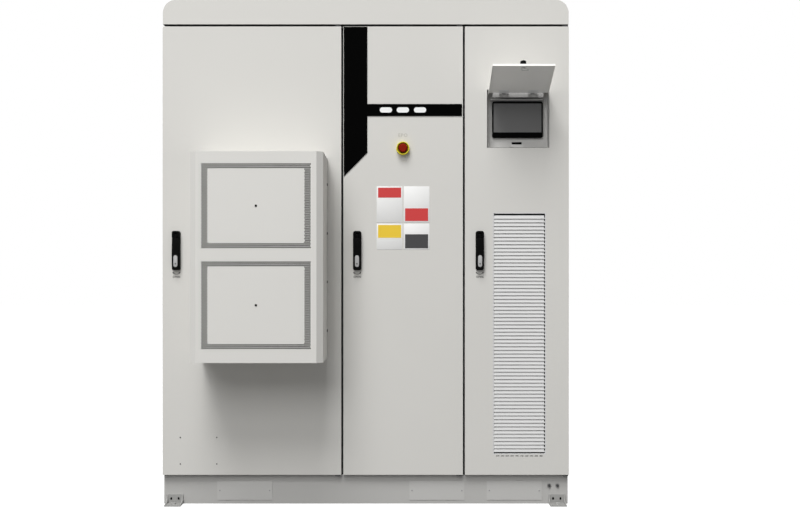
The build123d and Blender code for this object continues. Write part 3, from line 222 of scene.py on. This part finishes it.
def pick_faces(piece, test):
    """Edit mode with only those faces selected whose centre and normal pass the test."""
    bpy.ops.object.mode_set(mode="EDIT")
    bpy.ops.mesh.select_mode(type="FACE")
    bpy.ops.mesh.select_all(action="DESELECT")
    shape = bmesh.from_edit_mesh(piece.data)
    for face in shape.faces:
        if test(face.calc_center_median(), face.normal):
            face.select_set(True)
    bmesh.update_edit_mesh(piece.data)


def join_pieces(pieces):
    """One piece from several, named and placed as the first."""
    clear_selection()
    for piece in pieces:
        piece.select_set(True)
    bpy.context.view_layer.objects.active = pieces[0]
    bpy.ops.object.join()
    return bpy.context.object


def screw_head(x, y_back, z, radius, rise):
    """A domed screw with a hexagonal recess, its head pointing to the front."""
    piece = add_disc(x, y_back - rise, y_back, z, radius, vertices=24)
    pick_faces(piece, lambda centre, normal: normal.y < -0.9)
    bpy.ops.mesh.inset(thickness=radius * 0.25)
    bpy.ops.transform.translate(value=(0, -rise * 0.3, 0))
    bpy.ops.mesh.inset(thickness=radius * 0.3)
    bpy.ops.mesh.extrude_region_move(TRANSFORM_OT_translate={"value": (0, rise * 0.7, 0)})
    bpy.ops.object.mode_set(mode="OBJECT")
    return piece


screw_steel = finish("screw_steel", (0.30, 0.30, 0.30), 0.35, metallic=0.8, cloud_scale=60)
screw_dark = finish("screw_dark", (0.05, 0.05, 0.05), 0.45, metallic=0.4, cloud_scale=60)
cover_low, cover_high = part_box("plinth_covers")
cover_length = 0.252
cover_step = 0.354
screw_margin = 0.012
cover_z = (cover_low[2] + cover_high[2]) / 2
screws = []
right_cover = cover_high[0] - cover_length
for cover_left in (cover_low[0], right_cover - cover_step, right_cover):
    for x in (cover_left + screw_margin, cover_left + cover_length - screw_margin):
        screws.append(screw_head(x, cover_low[1], cover_z, 0.0035, 0.0012))
join_pieces(screws)
settle("plinth_cover_screws", "cabinet", screw_steel)

# Plinth corners: thin plates that close the ends of the front and rear beams.
plinth_low, plinth_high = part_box("plinth")
corner_sheet, corner_margin, corner_reach = 0.003, 0.004, 0.056
corner_plates = []
for x in (plinth_low[0], plinth_high[0] - corner_sheet):
    for y in (plinth_low[1] + corner_margin, plinth_high[1] - corner_margin - corner_reach):
        corner_plates.append(add_plate(
            (x, y, corner_margin),
            (x + corner_sheet, y + corner_reach, plinth_high[2] - corner_margin)))
join_pieces(corner_plates)
settle("plinth_corner_plates", "cabinet", plinth_painted_shade_coat)

# Floor bolts: a washer and a hexagon head in each anchor bracket.
bolt_heads = []
anchor_holes = next(mount for mount in frame["record"]["mounts"] if mount["name"] == "anchor_holes")
millimetre = 0.001
anchor_x = anchor_holes["dims"]["spacing_x_mm"] / 2 * millimetre
anchor_y = anchor_holes["dims"]["spacing_y_mm"] / 2 * millimetre
bracket_top = 0.005
washer_thickness = 0.0015
head_height = 0.007
for x in (-anchor_x, anchor_x):
    for y in (-anchor_y, anchor_y):
        for sides, radius, depth, level in (
                (32, 0.0115, washer_thickness, bracket_top),
                (6, 0.0095, head_height, bracket_top + washer_thickness)):
            clear_selection()
            bpy.ops.mesh.primitive_cylinder_add(vertices=sides, radius=radius, depth=depth,
                                                location=(x, y, level + depth / 2))
            bolt_heads.append(bpy.context.object)
join_pieces(bolt_heads)
settle("anchor_bolts", "cabinet", zinc, bevel=0.0004)

# Earth points: a dark screw head over each of the two bores.
earth_low, earth_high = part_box("earth_points")
earth_z = (earth_low[2] + earth_high[2]) / 2
point_radius = 0.01
earth_studs = []
for x in (earth_low[0] + point_radius, earth_high[0] - point_radius):
    earth_studs.append(screw_head(x, earth_low[1], earth_z, 0.0065, 0.004))
join_pieces(earth_studs)
settle("earth_stud_bolts", "cabinet", screw_dark)

# Roof gap: a thin black strip under the roof's front edge, above the doors, painted shade in the
# gap between roof and doors.
roof_low, roof_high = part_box("roof_cover")
shade_strip_margin, shade_strip_depth, shade_strip_thickness = 0.003, 0.036, 0.0016
shade_strip_front = roof_low[1] + 0.002
shade_strip_top = roof_low[2] - 0.0001
add_plate((roof_low[0] + shade_strip_margin, shade_strip_front, shade_strip_top - shade_strip_thickness),
          (roof_high[0] - shade_strip_margin, shade_strip_front + shade_strip_depth, shade_strip_top))
settle("roof_gap_painted_shade", "cabinet", rubber_and_painted_shade)

# Swing handles: satin black moulded levers that bulge a little at mid height, each
# with a grey lock cover near its lower end and a printed arrow and word below it.
satin_black = finish("satin_black", (0.0025, 0.0025, 0.0025), 0.42, variation=0.1,
                     grain_scale=1200, grain=0.25, specular=0.03)
lock_grey = finish("lock_grey", (0.42, 0.42, 0.42), 0.5, specular=0.2)
keyhole_black = finish("keyhole_black", (0.006, 0.006, 0.006), 0.6)
marking_grey = finish("marking_grey", (0.015, 0.015, 0.015), 0.6, specular=0.1)
print_lift = 0.0003


def pill(x, y_front, y_back, z, width, height):
    """A plate with fully round ends, its long side upright or level."""
    piece = add_plate((x - width / 2, y_front, z - height / 2),
                      (x + width / 2, y_back, z + height / 2))
    bpy.ops.object.mode_set(mode="EDIT")
    bpy.ops.mesh.select_mode(type="EDGE")
    bpy.ops.mesh.select_all(action="DESELECT")
    shape = bmesh.from_edit_mesh(piece.data)
    for edge in shape.edges:
        ends = [v.co for v in edge.verts]
        if abs(ends[0].y - ends[1].y) > (y_back - y_front) / 2:
            edge.select_set(True)
    bmesh.update_edit_mesh(piece.data)
    bpy.ops.mesh.bevel(offset=min(width, height) * 0.495, segments=10, affect="EDGES")
    bpy.ops.object.mode_set(mode="OBJECT")
    return piece


def curved_arrow(x, y, z, name, body):
    """A thin printed arc with a head at each end, just proud of the door."""
    radius, width, sweep, count = 0.020, 0.0022, math.radians(96), 14
    thickness, overlap, head_radius = 0.0004, 1.08, 0.0042
    pieces = []
    for step in range(count):
        angle = -sweep / 2 + sweep * (step + 0.5) / count
        clear_selection()
        centre = (x + radius * math.sin(angle), y, z + radius * (1 - math.cos(angle)))
        bpy.ops.mesh.primitive_cube_add(size=1, location=centre, rotation=(0, -angle, 0))
        bpy.context.object.scale = (radius * sweep / count * overlap, thickness, width)
        pieces.append(bpy.context.object)
    for side in (-1, 1):
        angle = side * sweep / 2
        clear_selection()
        centre = (x + radius * math.sin(angle), y, z + radius * (1 - math.cos(angle)))
        bpy.ops.mesh.primitive_cylinder_add(vertices=3, radius=head_radius, depth=thickness,
                                            location=centre,
                                            rotation=(math.pi / 2, 0, 0))
        bpy.ops.object.transform_apply(location=False, rotation=True, scale=True)
        head = bpy.context.object
        head.rotation_euler = (0, math.pi / 2 * side - angle, 0)
        pieces.append(head)
    join_pieces(pieces)
    settle(name, body, marking_grey)


def printed_word(text, x, y, z, height, name, body, material):
    """A generic word in thin letters just proud of a door, centred on a place."""
    capital_share = 0.7
    clear_selection()
    bpy.ops.object.text_add(location=(x, y, z), rotation=(math.pi / 2, 0, 0))
    letters = bpy.context.object.data
    letters.body = text
    letters.size = height / capital_share
    letters.align_x = "CENTER"
    letters.align_y = "CENTER"
    letters.space_character = 1.12
    letters.offset = height * 0.02
    letters.extrude = 0.0001
    letters.resolution_u = 2
    bpy.ops.object.convert(target="MESH")
    settle(name, body, material)


dress(satin_black, *(f"{door}_{piece}" for door in doors
                     for piece in ("handle_base", "handle_spindle")))
lever_half_width, neck_half_width = 0.0165, 0.0075
lever_clearance = 0.0042
lock_rise, lock_z, lock_width, lock_height = 0.0025, 1.109, 0.0184, 0.0534
for door in doors:
    low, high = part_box(f"{door}_handle_lever")
    x = (low[0] + high[0]) / 2
    lock_front = low[1]
    lever_front = lock_front + lock_rise
    lever_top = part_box(f"{door}_handle_spindle")[0][2] - lever_clearance
    grip = add_plate((x - lever_half_width, lever_front, low[2]),
                     (x + lever_half_width, high[1], lever_top))
    # The sides are cut at three levels and swell in two steps towards mid height.
    bpy.ops.object.mode_set(mode="EDIT")
    for level in (0.25, 0.5, 0.75):
        bpy.ops.mesh.select_all(action="SELECT")
        cut = low[2] + (lever_top - low[2]) * level
        bpy.ops.mesh.bisect(plane_co=(x, lever_front, cut), plane_no=(0, 0, 1))
    shape = bmesh.from_edit_mesh(grip.data)
    half = (lever_top - low[2]) / 2
    middle = (low[2] + lever_top) / 2
    bpy.ops.mesh.select_mode(type="VERT")
    for reach, swell in ((0.6, 1.07), (0.2, 1.04)):
        bpy.ops.mesh.select_all(action="DESELECT")
        for vertex in shape.verts:
            vertex.select_set(abs(vertex.co.z - middle) < half * reach)
        bmesh.update_edit_mesh(grip.data)
        bpy.ops.transform.resize(value=(swell, 1, 1), center_override=(x, lever_front, middle))
    bpy.ops.object.mode_set(mode="OBJECT")
    neck = add_plate((x - neck_half_width, lever_front + 0.001, lever_top - 0.004),
                     (x + neck_half_width, high[1] - 0.001, high[2] - 0.0035))
    grip = join_pieces([grip, neck])
    settle(f"{door}_lever_grip", f"{door}_handle_lever", satin_black,
           bevel=0.0035, segments=4)
    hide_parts(f"{door}_handle_lever")
    pill(x, lock_front, lever_front + 0.001, lock_z, lock_width, lock_height)
    settle(f"{door}_lock_cover", f"{door}_handle_lever", lock_grey,
           bevel=0.0008)
    add_disc(x, lock_front - 0.0002, lock_front + 0.0006, lock_z - 0.012, 0.0032)
    settle(f"{door}_keyhole", f"{door}_handle_lever", keyhole_black)
    print_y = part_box(f"{door}_door_panel")[0][1] - print_lift
    base_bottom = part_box(f"{door}_handle_base")[0][2]
    curved_arrow(x, print_y, base_bottom - 0.018, f"{door}_turn_arrow", f"{door}_door")
    printed_word("OPEN", x, print_y, base_bottom - 0.031, 0.0085, f"{door}_open_word",
                 f"{door}_door", marking_grey)

# Slots in the upright bracket plates: dark, because the beam behind them is hollow.
slot_dark = finish("slot_dark", (0.003, 0.003, 0.003), 0.9, specular=0.0)
slot_offset, slot_level = 0.01675, 0.024
slot_pieces = []
for centre in (-anchor_x, anchor_x):
    for x in (centre - slot_offset, centre + slot_offset):
        slot_pieces.append(pill(x, plinth_low[1] - 0.0006, plinth_low[1] - 0.0001,
                                slot_level, 0.0088, 0.0128))
join_pieces(slot_pieces)
settle("bracket_slots", "cabinet", slot_dark)

# Cooling unit cover: a bevelled sheet cover punched with two rectangular bands of
# small round holes in staggered rows, one screw at the middle of each panel.
cover_low, cover_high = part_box("cooler_cover")
hole_pitch = 0.0086
row_pitch = 0.0074
hole_radius = 0.0038
sheet = 0.002
bevel_width = 0.027
band_inset = 0.0545
panels = (("upper", 1.165, 1.522), ("lower", 0.733, 1.102))
cover_x = (cover_low[0] + cover_high[0]) / 2
shell = add_plate(cover_low, cover_high)
bpy.ops.object.mode_set(mode="EDIT")
bpy.ops.mesh.select_mode(type="VERT")
bpy.ops.mesh.select_all(action="DESELECT")
shape = bmesh.from_edit_mesh(shell.data)
for vertex in shape.verts:
    vertex.select_set(vertex.co.y < cover_low[1] + sheet)
bmesh.update_edit_mesh(shell.data)
cover_width = cover_high[0] - cover_low[0]
bpy.ops.transform.resize(value=(1 - 2 * bevel_width / cover_width, 1, 1),
                         center_override=(cover_x, 0, 0))
pick_faces(shell, lambda centre, normal: normal.y > 0.9)
bpy.ops.mesh.delete(type="FACE")
bpy.ops.object.mode_set(mode="OBJECT")
thickness = shell.modifiers.new("wall", "SOLIDIFY")
thickness.thickness = sheet
thickness.offset = -1
bpy.ops.object.modifier_apply(modifier=thickness.name)


def band_places(left, right, bottom, top, rows, columns):
    """Hole centres of a rectangular band: full rows above and below, columns at the sides."""
    row_count = round((top - bottom) / row_pitch)
    step_z = (top - bottom) / row_count
    across = round((right - left) / hole_pitch)
    step_x = (right - left) / across
    places = []
    for row in range(row_count + 1):
        shift = (row % 2) * step_x / 2
        for column in range(across + 1 - row % 2):
            in_rows = row < rows or row > row_count - rows
            in_columns = column < columns or column > across - columns - row % 2
            if in_rows or in_columns:
                places.append((left + shift + column * step_x, bottom + row * step_z))
    return places


punch_places = []
for _, bottom, top in panels:
    punch_places += band_places(cover_low[0] + band_inset, cover_high[0] - band_inset,
                                bottom, top, 3, 3)
first_x, first_z = punch_places[0]
punch = add_disc(first_x, cover_low[1] - sheet, cover_low[1] + 2 * sheet, first_z,
                 hole_radius, vertices=8)
punch_mesh = bmesh.new()
for x, z in punch_places:
    start = len(punch_mesh.verts)
    punch_mesh.from_mesh(punch.data)
    punch_mesh.verts.ensure_lookup_table()
    move = Vector((x - first_x, 0, z - first_z))
    bmesh.ops.translate(punch_mesh, verts=punch_mesh.verts[start:], vec=move)
punch_mesh.to_mesh(punch.data)
punch_mesh.free()
clear_selection()
shell.select_set(True)
bpy.context.view_layer.objects.active = shell
cut = shell.modifiers.new("punched", "BOOLEAN")
cut.operation = "DIFFERENCE"
cut.object = punch
cut.solver = "EXACT"
bpy.ops.object.modifier_apply(modifier=cut.name)
bpy.data.objects.remove(punch)
settle("punched_cover", "left_door", cooler_painted_light_coat, angle=25)
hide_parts("cooler_cover")
panel_screws = []
for _, bottom, top in panels:
    panel_screws.append(screw_head(cover_x, cover_low[1], (bottom + top) / 2, 0.005, 0.0015))
join_pieces(panel_screws)
settle("cover_screws", "left_door", satin_black)

# Painted shade: a black sheet just behind each perforated panel, that darkens the holes.
painted_shade_mat = finish("painted_shade_mat", (0.004, 0.004, 0.004), 0.95, grain_scale=300, grain=0.6,
                   specular=0.0)
shade_sheet_inset, shade_sheet_margin, shade_sheet_thickness = 0.049, 0.005, 0.002
shade_sheet_front = cover_low[1] + sheet + 0.0003
for name, bottom, top in panels:
    add_plate((cover_low[0] + shade_sheet_inset, shade_sheet_front, bottom - shade_sheet_margin),
              (cover_high[0] - shade_sheet_inset, shade_sheet_front + shade_sheet_thickness, top + shade_sheet_margin))
    settle(f"{name}_painted_shade_sheet", "left_door", painted_shade_mat)

# Housing screws: four on each side wall, near the door.
housing_low, housing_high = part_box("cooler_housing")
side_screws = []
screw_rise = 0.003
for x in (housing_low[0] - screw_rise / 2, housing_high[0] + screw_rise / 2):
    for z in (1.456, 1.235, 1.015, 0.794):
        clear_selection()
        bpy.ops.mesh.primitive_cylinder_add(vertices=20, radius=0.006, depth=screw_rise,
                                            location=(x, housing_high[1] - 0.022, z),
                                            rotation=(0, math.pi / 2, 0))
        side_screws.append(bpy.context.object)
join_pieces(side_screws)
settle("housing_screws", "left_door", screw_dark, bevel=0.0008)

# Door bottom fixings: four small dark screws at the latch side of the left door.
low_screws = []
left_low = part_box("left_door_panel")[0]
for x in (left_low[0] + 0.0805, left_low[0] + 0.2465):
    for z in (0.3064, 0.1856):
        low_screws.append(screw_head(x, left_low[1], z, 0.003, 0.001))
join_pieces(low_screws)
settle("low_door_screws", "left_door", screw_dark)

# Inside the cooling unit: black fans, dark motors and bare aluminium fins.
moulded_black = finish("moulded_black", (0.014, 0.014, 0.015), 0.55, variation=0.1)
bare_fins = finish("bare_fins", (0.55, 0.55, 0.55), 0.4, metallic=0.9, cloud_scale=30)
dress(moulded_black, "upper_fan", "lower_fan", "fan_motors")
dress(bare_fins, "cooler_coil")

# Centre door trim: satin black strips, with white lamp lenses on the level band.
trim_black = finish("trim_black", (0.0015, 0.0015, 0.0015), 0.55, variation=0.1, grain=0.1,
                    specular=0.005)
dress(trim_black, "trim_panel")
lens_white = finish("lens_white", (0.86, 0.87, 0.87), 0.25, variation=0.02, grain=0.05)
dress(lens_white, "status_lamps")

# Emergency stop: a red head on a yellow collar, inside a low guard ring, with a faint
# generic word above it.
collar_yellow = finish("collar_yellow", (0.72, 0.60, 0.03), 0.5, grain=0.1, specular=0.15)
head_red = finish("head_red", (0.22, 0.010, 0.002), 0.5, grain=0.1, specular=0.06)
dress(collar_yellow, "estop_collar")
dress(head_red, "estop_head")
collar_low, collar_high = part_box("estop_collar")
estop_x = (collar_low[0] + collar_high[0]) / 2
estop_z = (collar_low[2] + collar_high[2]) / 2
door_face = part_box("centre_door_panel")[0][1]
faint_grey = finish("faint_grey", (0.50, 0.49, 0.46), 0.6, specular=0.1)
printed_word("EPO", estop_x, door_face - print_lift, estop_z + 0.060, 0.0155, "estop_word",
             "centre_door", faint_grey)
# The black lining inside the yellow guard ring is painted shade between the ring and the red head.
for name, radius, wall, front, material, slot in (
        ("estop_guard_ring", 0.0295, 0.0042, 0.0150, collar_yellow, "estop_yellow"),
        ("estop_guard_painted_shade", 0.0252, 0.0012, 0.0140, satin_black, "black_plastic")):
    clear_selection()
    bpy.ops.mesh.primitive_cylinder_add(
        vertices=48, radius=radius, depth=front, end_fill_type="NOTHING",
        location=(estop_x, collar_low[1] - front / 2 + 0.0005, estop_z),
        rotation=(math.pi / 2, 0, 0))
    ring = bpy.context.object
    wall_thickness = ring.modifiers.new("wall", "SOLIDIFY")
    wall_thickness.thickness = wall
    wall_thickness.offset = -1
    bpy.ops.object.modifier_apply(modifier=wall_thickness.name)
    settle(name, "centre_door", material, bevel=0.0005)

# Sign plates: four thin plates in two rows. Their faces are plain blocks of colour,
# with no words and no pictures.
plate_white = finish("plate_white", (0.80, 0.80, 0.79), 0.45, grain=0.05)
plate_black = finish("plate_black", (0.02, 0.02, 0.022), 0.45, grain=0.05)
plate_red = finish("plate_red", (0.55, 0.03, 0.03), 0.45, grain=0.05)
plate_yellow = finish("plate_yellow", (0.80, 0.55, 0.03), 0.45, grain=0.05)
sign_colours = {"white": plate_white, "black": plate_black, "red": plate_red,
                "yellow": plate_yellow}
sign_left, sign_right = 0.050, 0.290
sign_gap = 0.006
sign_border = 0.006
sign_width = (sign_right - sign_left - sign_gap) / 2
upper_bottom, upper_top = 1.286, 1.450
lower_bottom, lower_top = 1.162, 1.280
signs = {
    "upper_left_sign": (0, upper_bottom, upper_top, (("red", 0.30), ("white", 0.70))),
    "upper_right_sign": (1, upper_bottom, upper_top, (("white", 0.62), ("red", 0.38))),
    "lower_left_sign": (0, lower_bottom, lower_top, (("yellow", 0.55), ("white", 0.45))),
    "lower_right_sign": (1, lower_bottom, lower_top, (("white", 0.40), ("black", 0.60))),
}
for name, (column, bottom, top, bands) in signs.items():
    left = sign_left + column * (sign_width + sign_gap)
    add_plate((left, door_face - 0.0008, bottom), (left + sign_width, door_face, top))
    settle(name, "centre_door", plate_white, bevel=0.0003)
    level = top - sign_border
    height = top - bottom - 2 * sign_border
    for number, (colour, share) in enumerate(bands):
        if colour != "white":
            add_plate((left + sign_border, door_face - 0.0012, level - height * share),
                      (left + sign_width - sign_border, door_face - 0.0006, level))
            settle(f"{name}_block_{number}", "centre_door", sign_colours[colour])
        level -= height * share

# Operator pocket: a sheet box behind the door face with a black-framed display, and
# the slot and lip at its foot that the lid's lock closes on.
pocket_coat = finish("pocket_coat", (0.60, 0.595, 0.58), 0.6, specular=0.1)
strip_coat = finish("strip_coat", (0.36, 0.357, 0.348), 0.6, specular=0.1)
dress(pocket_coat, "operator_pocket")
dress(strip_coat, "lid_hinge_strip")
bezel_black = finish("bezel_black", (0.002, 0.002, 0.002), 0.45, grain=0.05, specular=0.01)
dress(bezel_black, "display_unit")
screen_glass = finish("screen_glass", (0.155, 0.155, 0.155), 0.3, variation=0.02, grain=0.0,
                      specular=0.1)
dress(screen_glass, "display_glass")

# Painted highlight: a pale, mostly non-metallic copy of the zinc plating, so the hinge leaves,
# keeper lip and lock nut read bright.
zinc_painted_highlight = finish("zinc_painted_highlight", (0.85, 0.85, 0.84), 0.35, metallic=0.3)
dress(zinc_painted_highlight, "lid_hinge_leaves")
pocket_low, pocket_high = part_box("operator_pocket")
slot_x = 0.6936
slot_z = pocket_low[2] + 0.0270
slot_half_width, slot_half_height = 0.023, 0.005
add_plate((slot_x - slot_half_width, pocket_high[1] - 0.0025, slot_z - slot_half_height),
          (slot_x + slot_half_width, pocket_high[1] - 0.0013, slot_z + slot_half_height))
settle("keeper_slot", "right_door", bezel_black)
clear_selection()
bpy.ops.mesh.primitive_cylinder_add(vertices=32, radius=0.0045, depth=0.044,
                                    location=(slot_x, pocket_high[1] - 0.004, slot_z - 0.011),
                                    rotation=(0, math.pi / 2, 0))
settle("keeper_lip", "right_door", zinc_painted_highlight, bevel=0.0005)

# Lid lock: a black knob outside and a plated nut inside, placed with the lid shut and
# then swung open with it.
lid_axis = Vector((slot_x, -0.604, 1.878))
lid_open = Matrix.Rotation(math.radians(-111), 4, "X")
swing = Matrix.Translation(lid_axis) @ lid_open @ Matrix.Translation(-lid_axis)
hinge_gap, lid_height, lock_margin = 0.005, 0.243, 0.022
lock_axis_z = lid_axis.z - hinge_gap - lid_height + lock_margin
for name, front, back, radius, slot, material, bevel in (
        ("lid_knob_grip", -0.6240, -0.6008, 0.0133, "black_plastic", satin_black, 0.0012),
        ("lid_lock_nut", -0.5984, -0.5945, 0.0120, "zinc", zinc_painted_highlight, 0.0008)):
    add_disc(slot_x, front, back, lock_axis_z, radius).data.transform(swing)
    settle(name, "lid_lock", material, bevel=bevel)

# Pocket outline: thin black strips along the pocket's rim on the door, painted shadow of the gap
# between pocket and door.
shadow_line_width, shadow_line_foot = 0.0016, 0.0012
shadow_lines = []
for low_x, high_x, low_z, high_z in (
        (pocket_low[0], pocket_low[0] + shadow_line_width, pocket_low[2], pocket_high[2]),
        (pocket_high[0] - shadow_line_width, pocket_high[0], pocket_low[2], pocket_high[2]),
        (pocket_low[0], pocket_high[0], pocket_low[2], pocket_low[2] + shadow_line_foot)):
    shadow_lines.append(add_plate((low_x, door_face - 0.0003, low_z),
                           (high_x, door_face + 0.0010, high_z)))
join_pieces(shadow_lines)
settle("pocket_painted_shadow_line", "right_door", rubber_and_painted_shade)

# Louvre panel: sloping blades in the door's grey, with a dark filter mat behind.
blade_coat = finish("blade_coat", (0.66, 0.66, 0.655), 0.6, specular=0.1)
grille_low, grille_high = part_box("louvre_grille")
border = 0.004
slat_pitch = 0.0166
slat_height = 0.0156
slat_count = 65
slat_left = grille_low[0] + border
slat_right = grille_high[0] - border - 0.005
slat_start = (grille_low[2] + grille_high[2] - slat_count * slat_pitch) / 2


def repeat_upwards(piece):
    """Repeats a piece at every slat of the panel."""
    rows = piece.modifiers.new("rows", "ARRAY")
    rows.count = slat_count
    rows.use_relative_offset = False
    rows.use_constant_offset = True
    rows.constant_offset_displace = (0, 0, slat_pitch)
    bpy.ops.object.modifier_apply(modifier=rows.name)
    return piece


slat = add_plate((slat_left, grille_low[1] + 0.001, slat_start),
                 (slat_right, grille_low[1] + 0.0025, slat_start + slat_height))
pick_faces(slat, lambda centre, normal: normal.z > 0.9)
bpy.ops.transform.translate(value=(0, 0.0045, 0))
bpy.ops.mesh.extrude_region_move(TRANSFORM_OT_translate={"value": (0, 0.005, 0.0003)})
bpy.ops.object.mode_set(mode="OBJECT")
repeat_upwards(slat)
tab = repeat_upwards(add_plate(
    (slat_right, grille_low[1] + 0.002, slat_start),
    (grille_high[0] - border, grille_low[1] + 0.0035, slat_start + 0.0055)))
grille_pieces = [slat, tab]
inner_left, inner_right = grille_low[0] + border, grille_high[0] - border
for low_x, high_x, low_z, high_z in (
        (grille_low[0], inner_left, grille_low[2], grille_high[2]),
        (inner_right, grille_high[0], grille_low[2], grille_high[2]),
        (inner_left, inner_right, grille_low[2], grille_low[2] + border),
        (inner_left, inner_right, grille_high[2] - border, grille_high[2])):
    grille_pieces.append(add_plate((low_x, grille_low[1], low_z), (high_x, grille_high[1], high_z)))
join_pieces(grille_pieces)
grille = settle("pressed_louvre", "right_door", blade_coat)
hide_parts("louvre_grille")
filter_mat = finish("filter_mat", (0.02, 0.02, 0.02), 0.95, grain_scale=250, grain=0.8)
dress(filter_mat, "air_filter")

# Batteries and power gear: dark moulded cases, each with a grey front plate and two
# orange plugs, and grey converters.
case_dark = finish("case_dark", (0.022, 0.023, 0.025), 0.5, variation=0.1)
dress(case_dark, "battery_modules")
module_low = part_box("battery_modules")[0]
front_grey = finish("front_grey", (0.16, 0.165, 0.17), 0.5, specular=0.3)
plug_orange = finish("plug_orange", (0.62, 0.16, 0.01), 0.45)
left_bay = (-0.884, -0.168)
centre_bay = (-0.061, 0.386)
module_front = module_low[1] + 0.040
module_rows, module_pitch = 8, 0.232
plate_inset, plate_thickness = 0.090, 0.003
plug_spread, plug_length, plug_radius = 0.060, 0.021, 0.016
for number, (bay_left, bay_right) in enumerate((left_bay, centre_bay)):
    plates, plugs = [], []
    middle = (bay_left + bay_right) / 2
    plate_front = module_front - plate_thickness
    for row in range(module_rows):
        level = module_low[2] + row * module_pitch
        plates.append(add_plate((bay_left + plate_inset, plate_front, level + 0.015),
                                (bay_right - plate_inset, module_front, level + 0.175)))
        for x in (middle - plug_spread, middle + plug_spread):
            plugs.append(add_disc(x, plate_front - plug_length, plate_front,
                                  level + 0.120, plug_radius))
    join_pieces(plates)
    settle(f"module_plates_{number}", "cabinet", front_grey, bevel=0.001)
    join_pieces(plugs)
    settle(f"module_plugs_{number}", "cabinet", plug_orange, bevel=0.002)
converter_grey = finish("converter_grey", (0.42, 0.42, 0.42), 0.5)
dress(converter_grey, "power_converter", "control_unit")

# Floor and surroundings: a pale floor that keeps the cabinet's shadow.
clear_selection()
bpy.ops.mesh.primitive_plane_add(size=60, location=(0, 0, -0.0002))
floor = bpy.context.object
floor.name = "floor"
bpy.ops.object.transform_apply(location=True, rotation=True, scale=True)
floor_material = bpy.data.materials.new("floor")
floor_material.use_nodes = True
floor_tree = floor_material.node_tree
floor_shader = floor_tree.nodes["Principled BSDF"]
floor_shader.inputs["Base Color"].default_value = (0.22, 0.22, 0.22, 1)
floor_shader.inputs["Roughness"].default_value = 0.9
floor_shader.inputs["Specular IOR Level"].default_value = 0.0
floor_shader.inputs["Emission Color"].default_value = (1, 1, 1, 1)
light_path = floor_tree.nodes.new("ShaderNodeLightPath").outputs
seen = math_node(floor_tree, "MAXIMUM", light_path["Is Camera Ray"], light_path["Is Glossy Ray"])
floor_tree.links.new(math_node(floor_tree, "MULTIPLY", seen, 0.95),
                     floor_shader.inputs["Emission Strength"])
floor.data.materials.append(floor_material)

# World: even grey fill, seen as white.
world = bpy.data.worlds.new("studio")
bpy.context.scene.world = world
world.use_nodes = True
backdrop = world.node_tree.nodes["Background"]
backdrop.inputs["Color"].default_value = (1, 1, 1, 1)
light_path = world.node_tree.nodes.new("ShaderNodeLightPath").outputs
seen = math_node(world.node_tree, "MAXIMUM", light_path["Is Camera Ray"],
                 light_path["Is Glossy Ray"])
seen = math_node(world.node_tree, "MAXIMUM", seen, light_path["Is Transmission Ray"])
world_level = world.node_tree.nodes.new("ShaderNodeMapRange")
world_level.inputs["To Min"].default_value = 0.24
world_level.inputs["To Max"].default_value = 1.0
world.node_tree.links.new(seen, world_level.inputs["Value"])
world.node_tree.links.new(world_level.outputs["Result"], backdrop.inputs["Strength"])


# Lamps: a broad key above and a little to the left in front, and a weak fill.
def area_lamp(name, place, size, power):
    """A square lamp that points at the middle of the cabinet's front."""
    clear_selection()
    bpy.ops.object.light_add(type="AREA", location=place)
    lamp = bpy.context.object
    lamp.name = name
    lamp.data.shape = "SQUARE"
    lamp.data.size = size
    lamp.data.energy = power
    aim = Vector((0, -0.6, 1.2)) - Vector(place)
    lamp.rotation_euler = aim.to_track_quat("-Z", "Y").to_euler()


area_lamp("key_lamp", (-3.0, -10.0, 18.0), 8.5, 3500)
area_lamp("front_lamp", (-4.2, -13.0, 8.5), 6.5, 700)

# Camera: straight in front, a little right of the middle, at chest height.
clear_selection()
bpy.ops.object.camera_add(location=(0.1514, -5.66, 1.057), rotation=(math.pi / 2, 0, 0))
camera = bpy.context.object
camera.data.lens = 50
camera.data.sensor_width = 36
camera.data.shift_x = 0.00125
camera.data.shift_y = 0.0164
camera.data.clip_end = 200
bpy.context.scene.camera = camera
bpy.context.scene.view_settings.view_transform = "Standard"
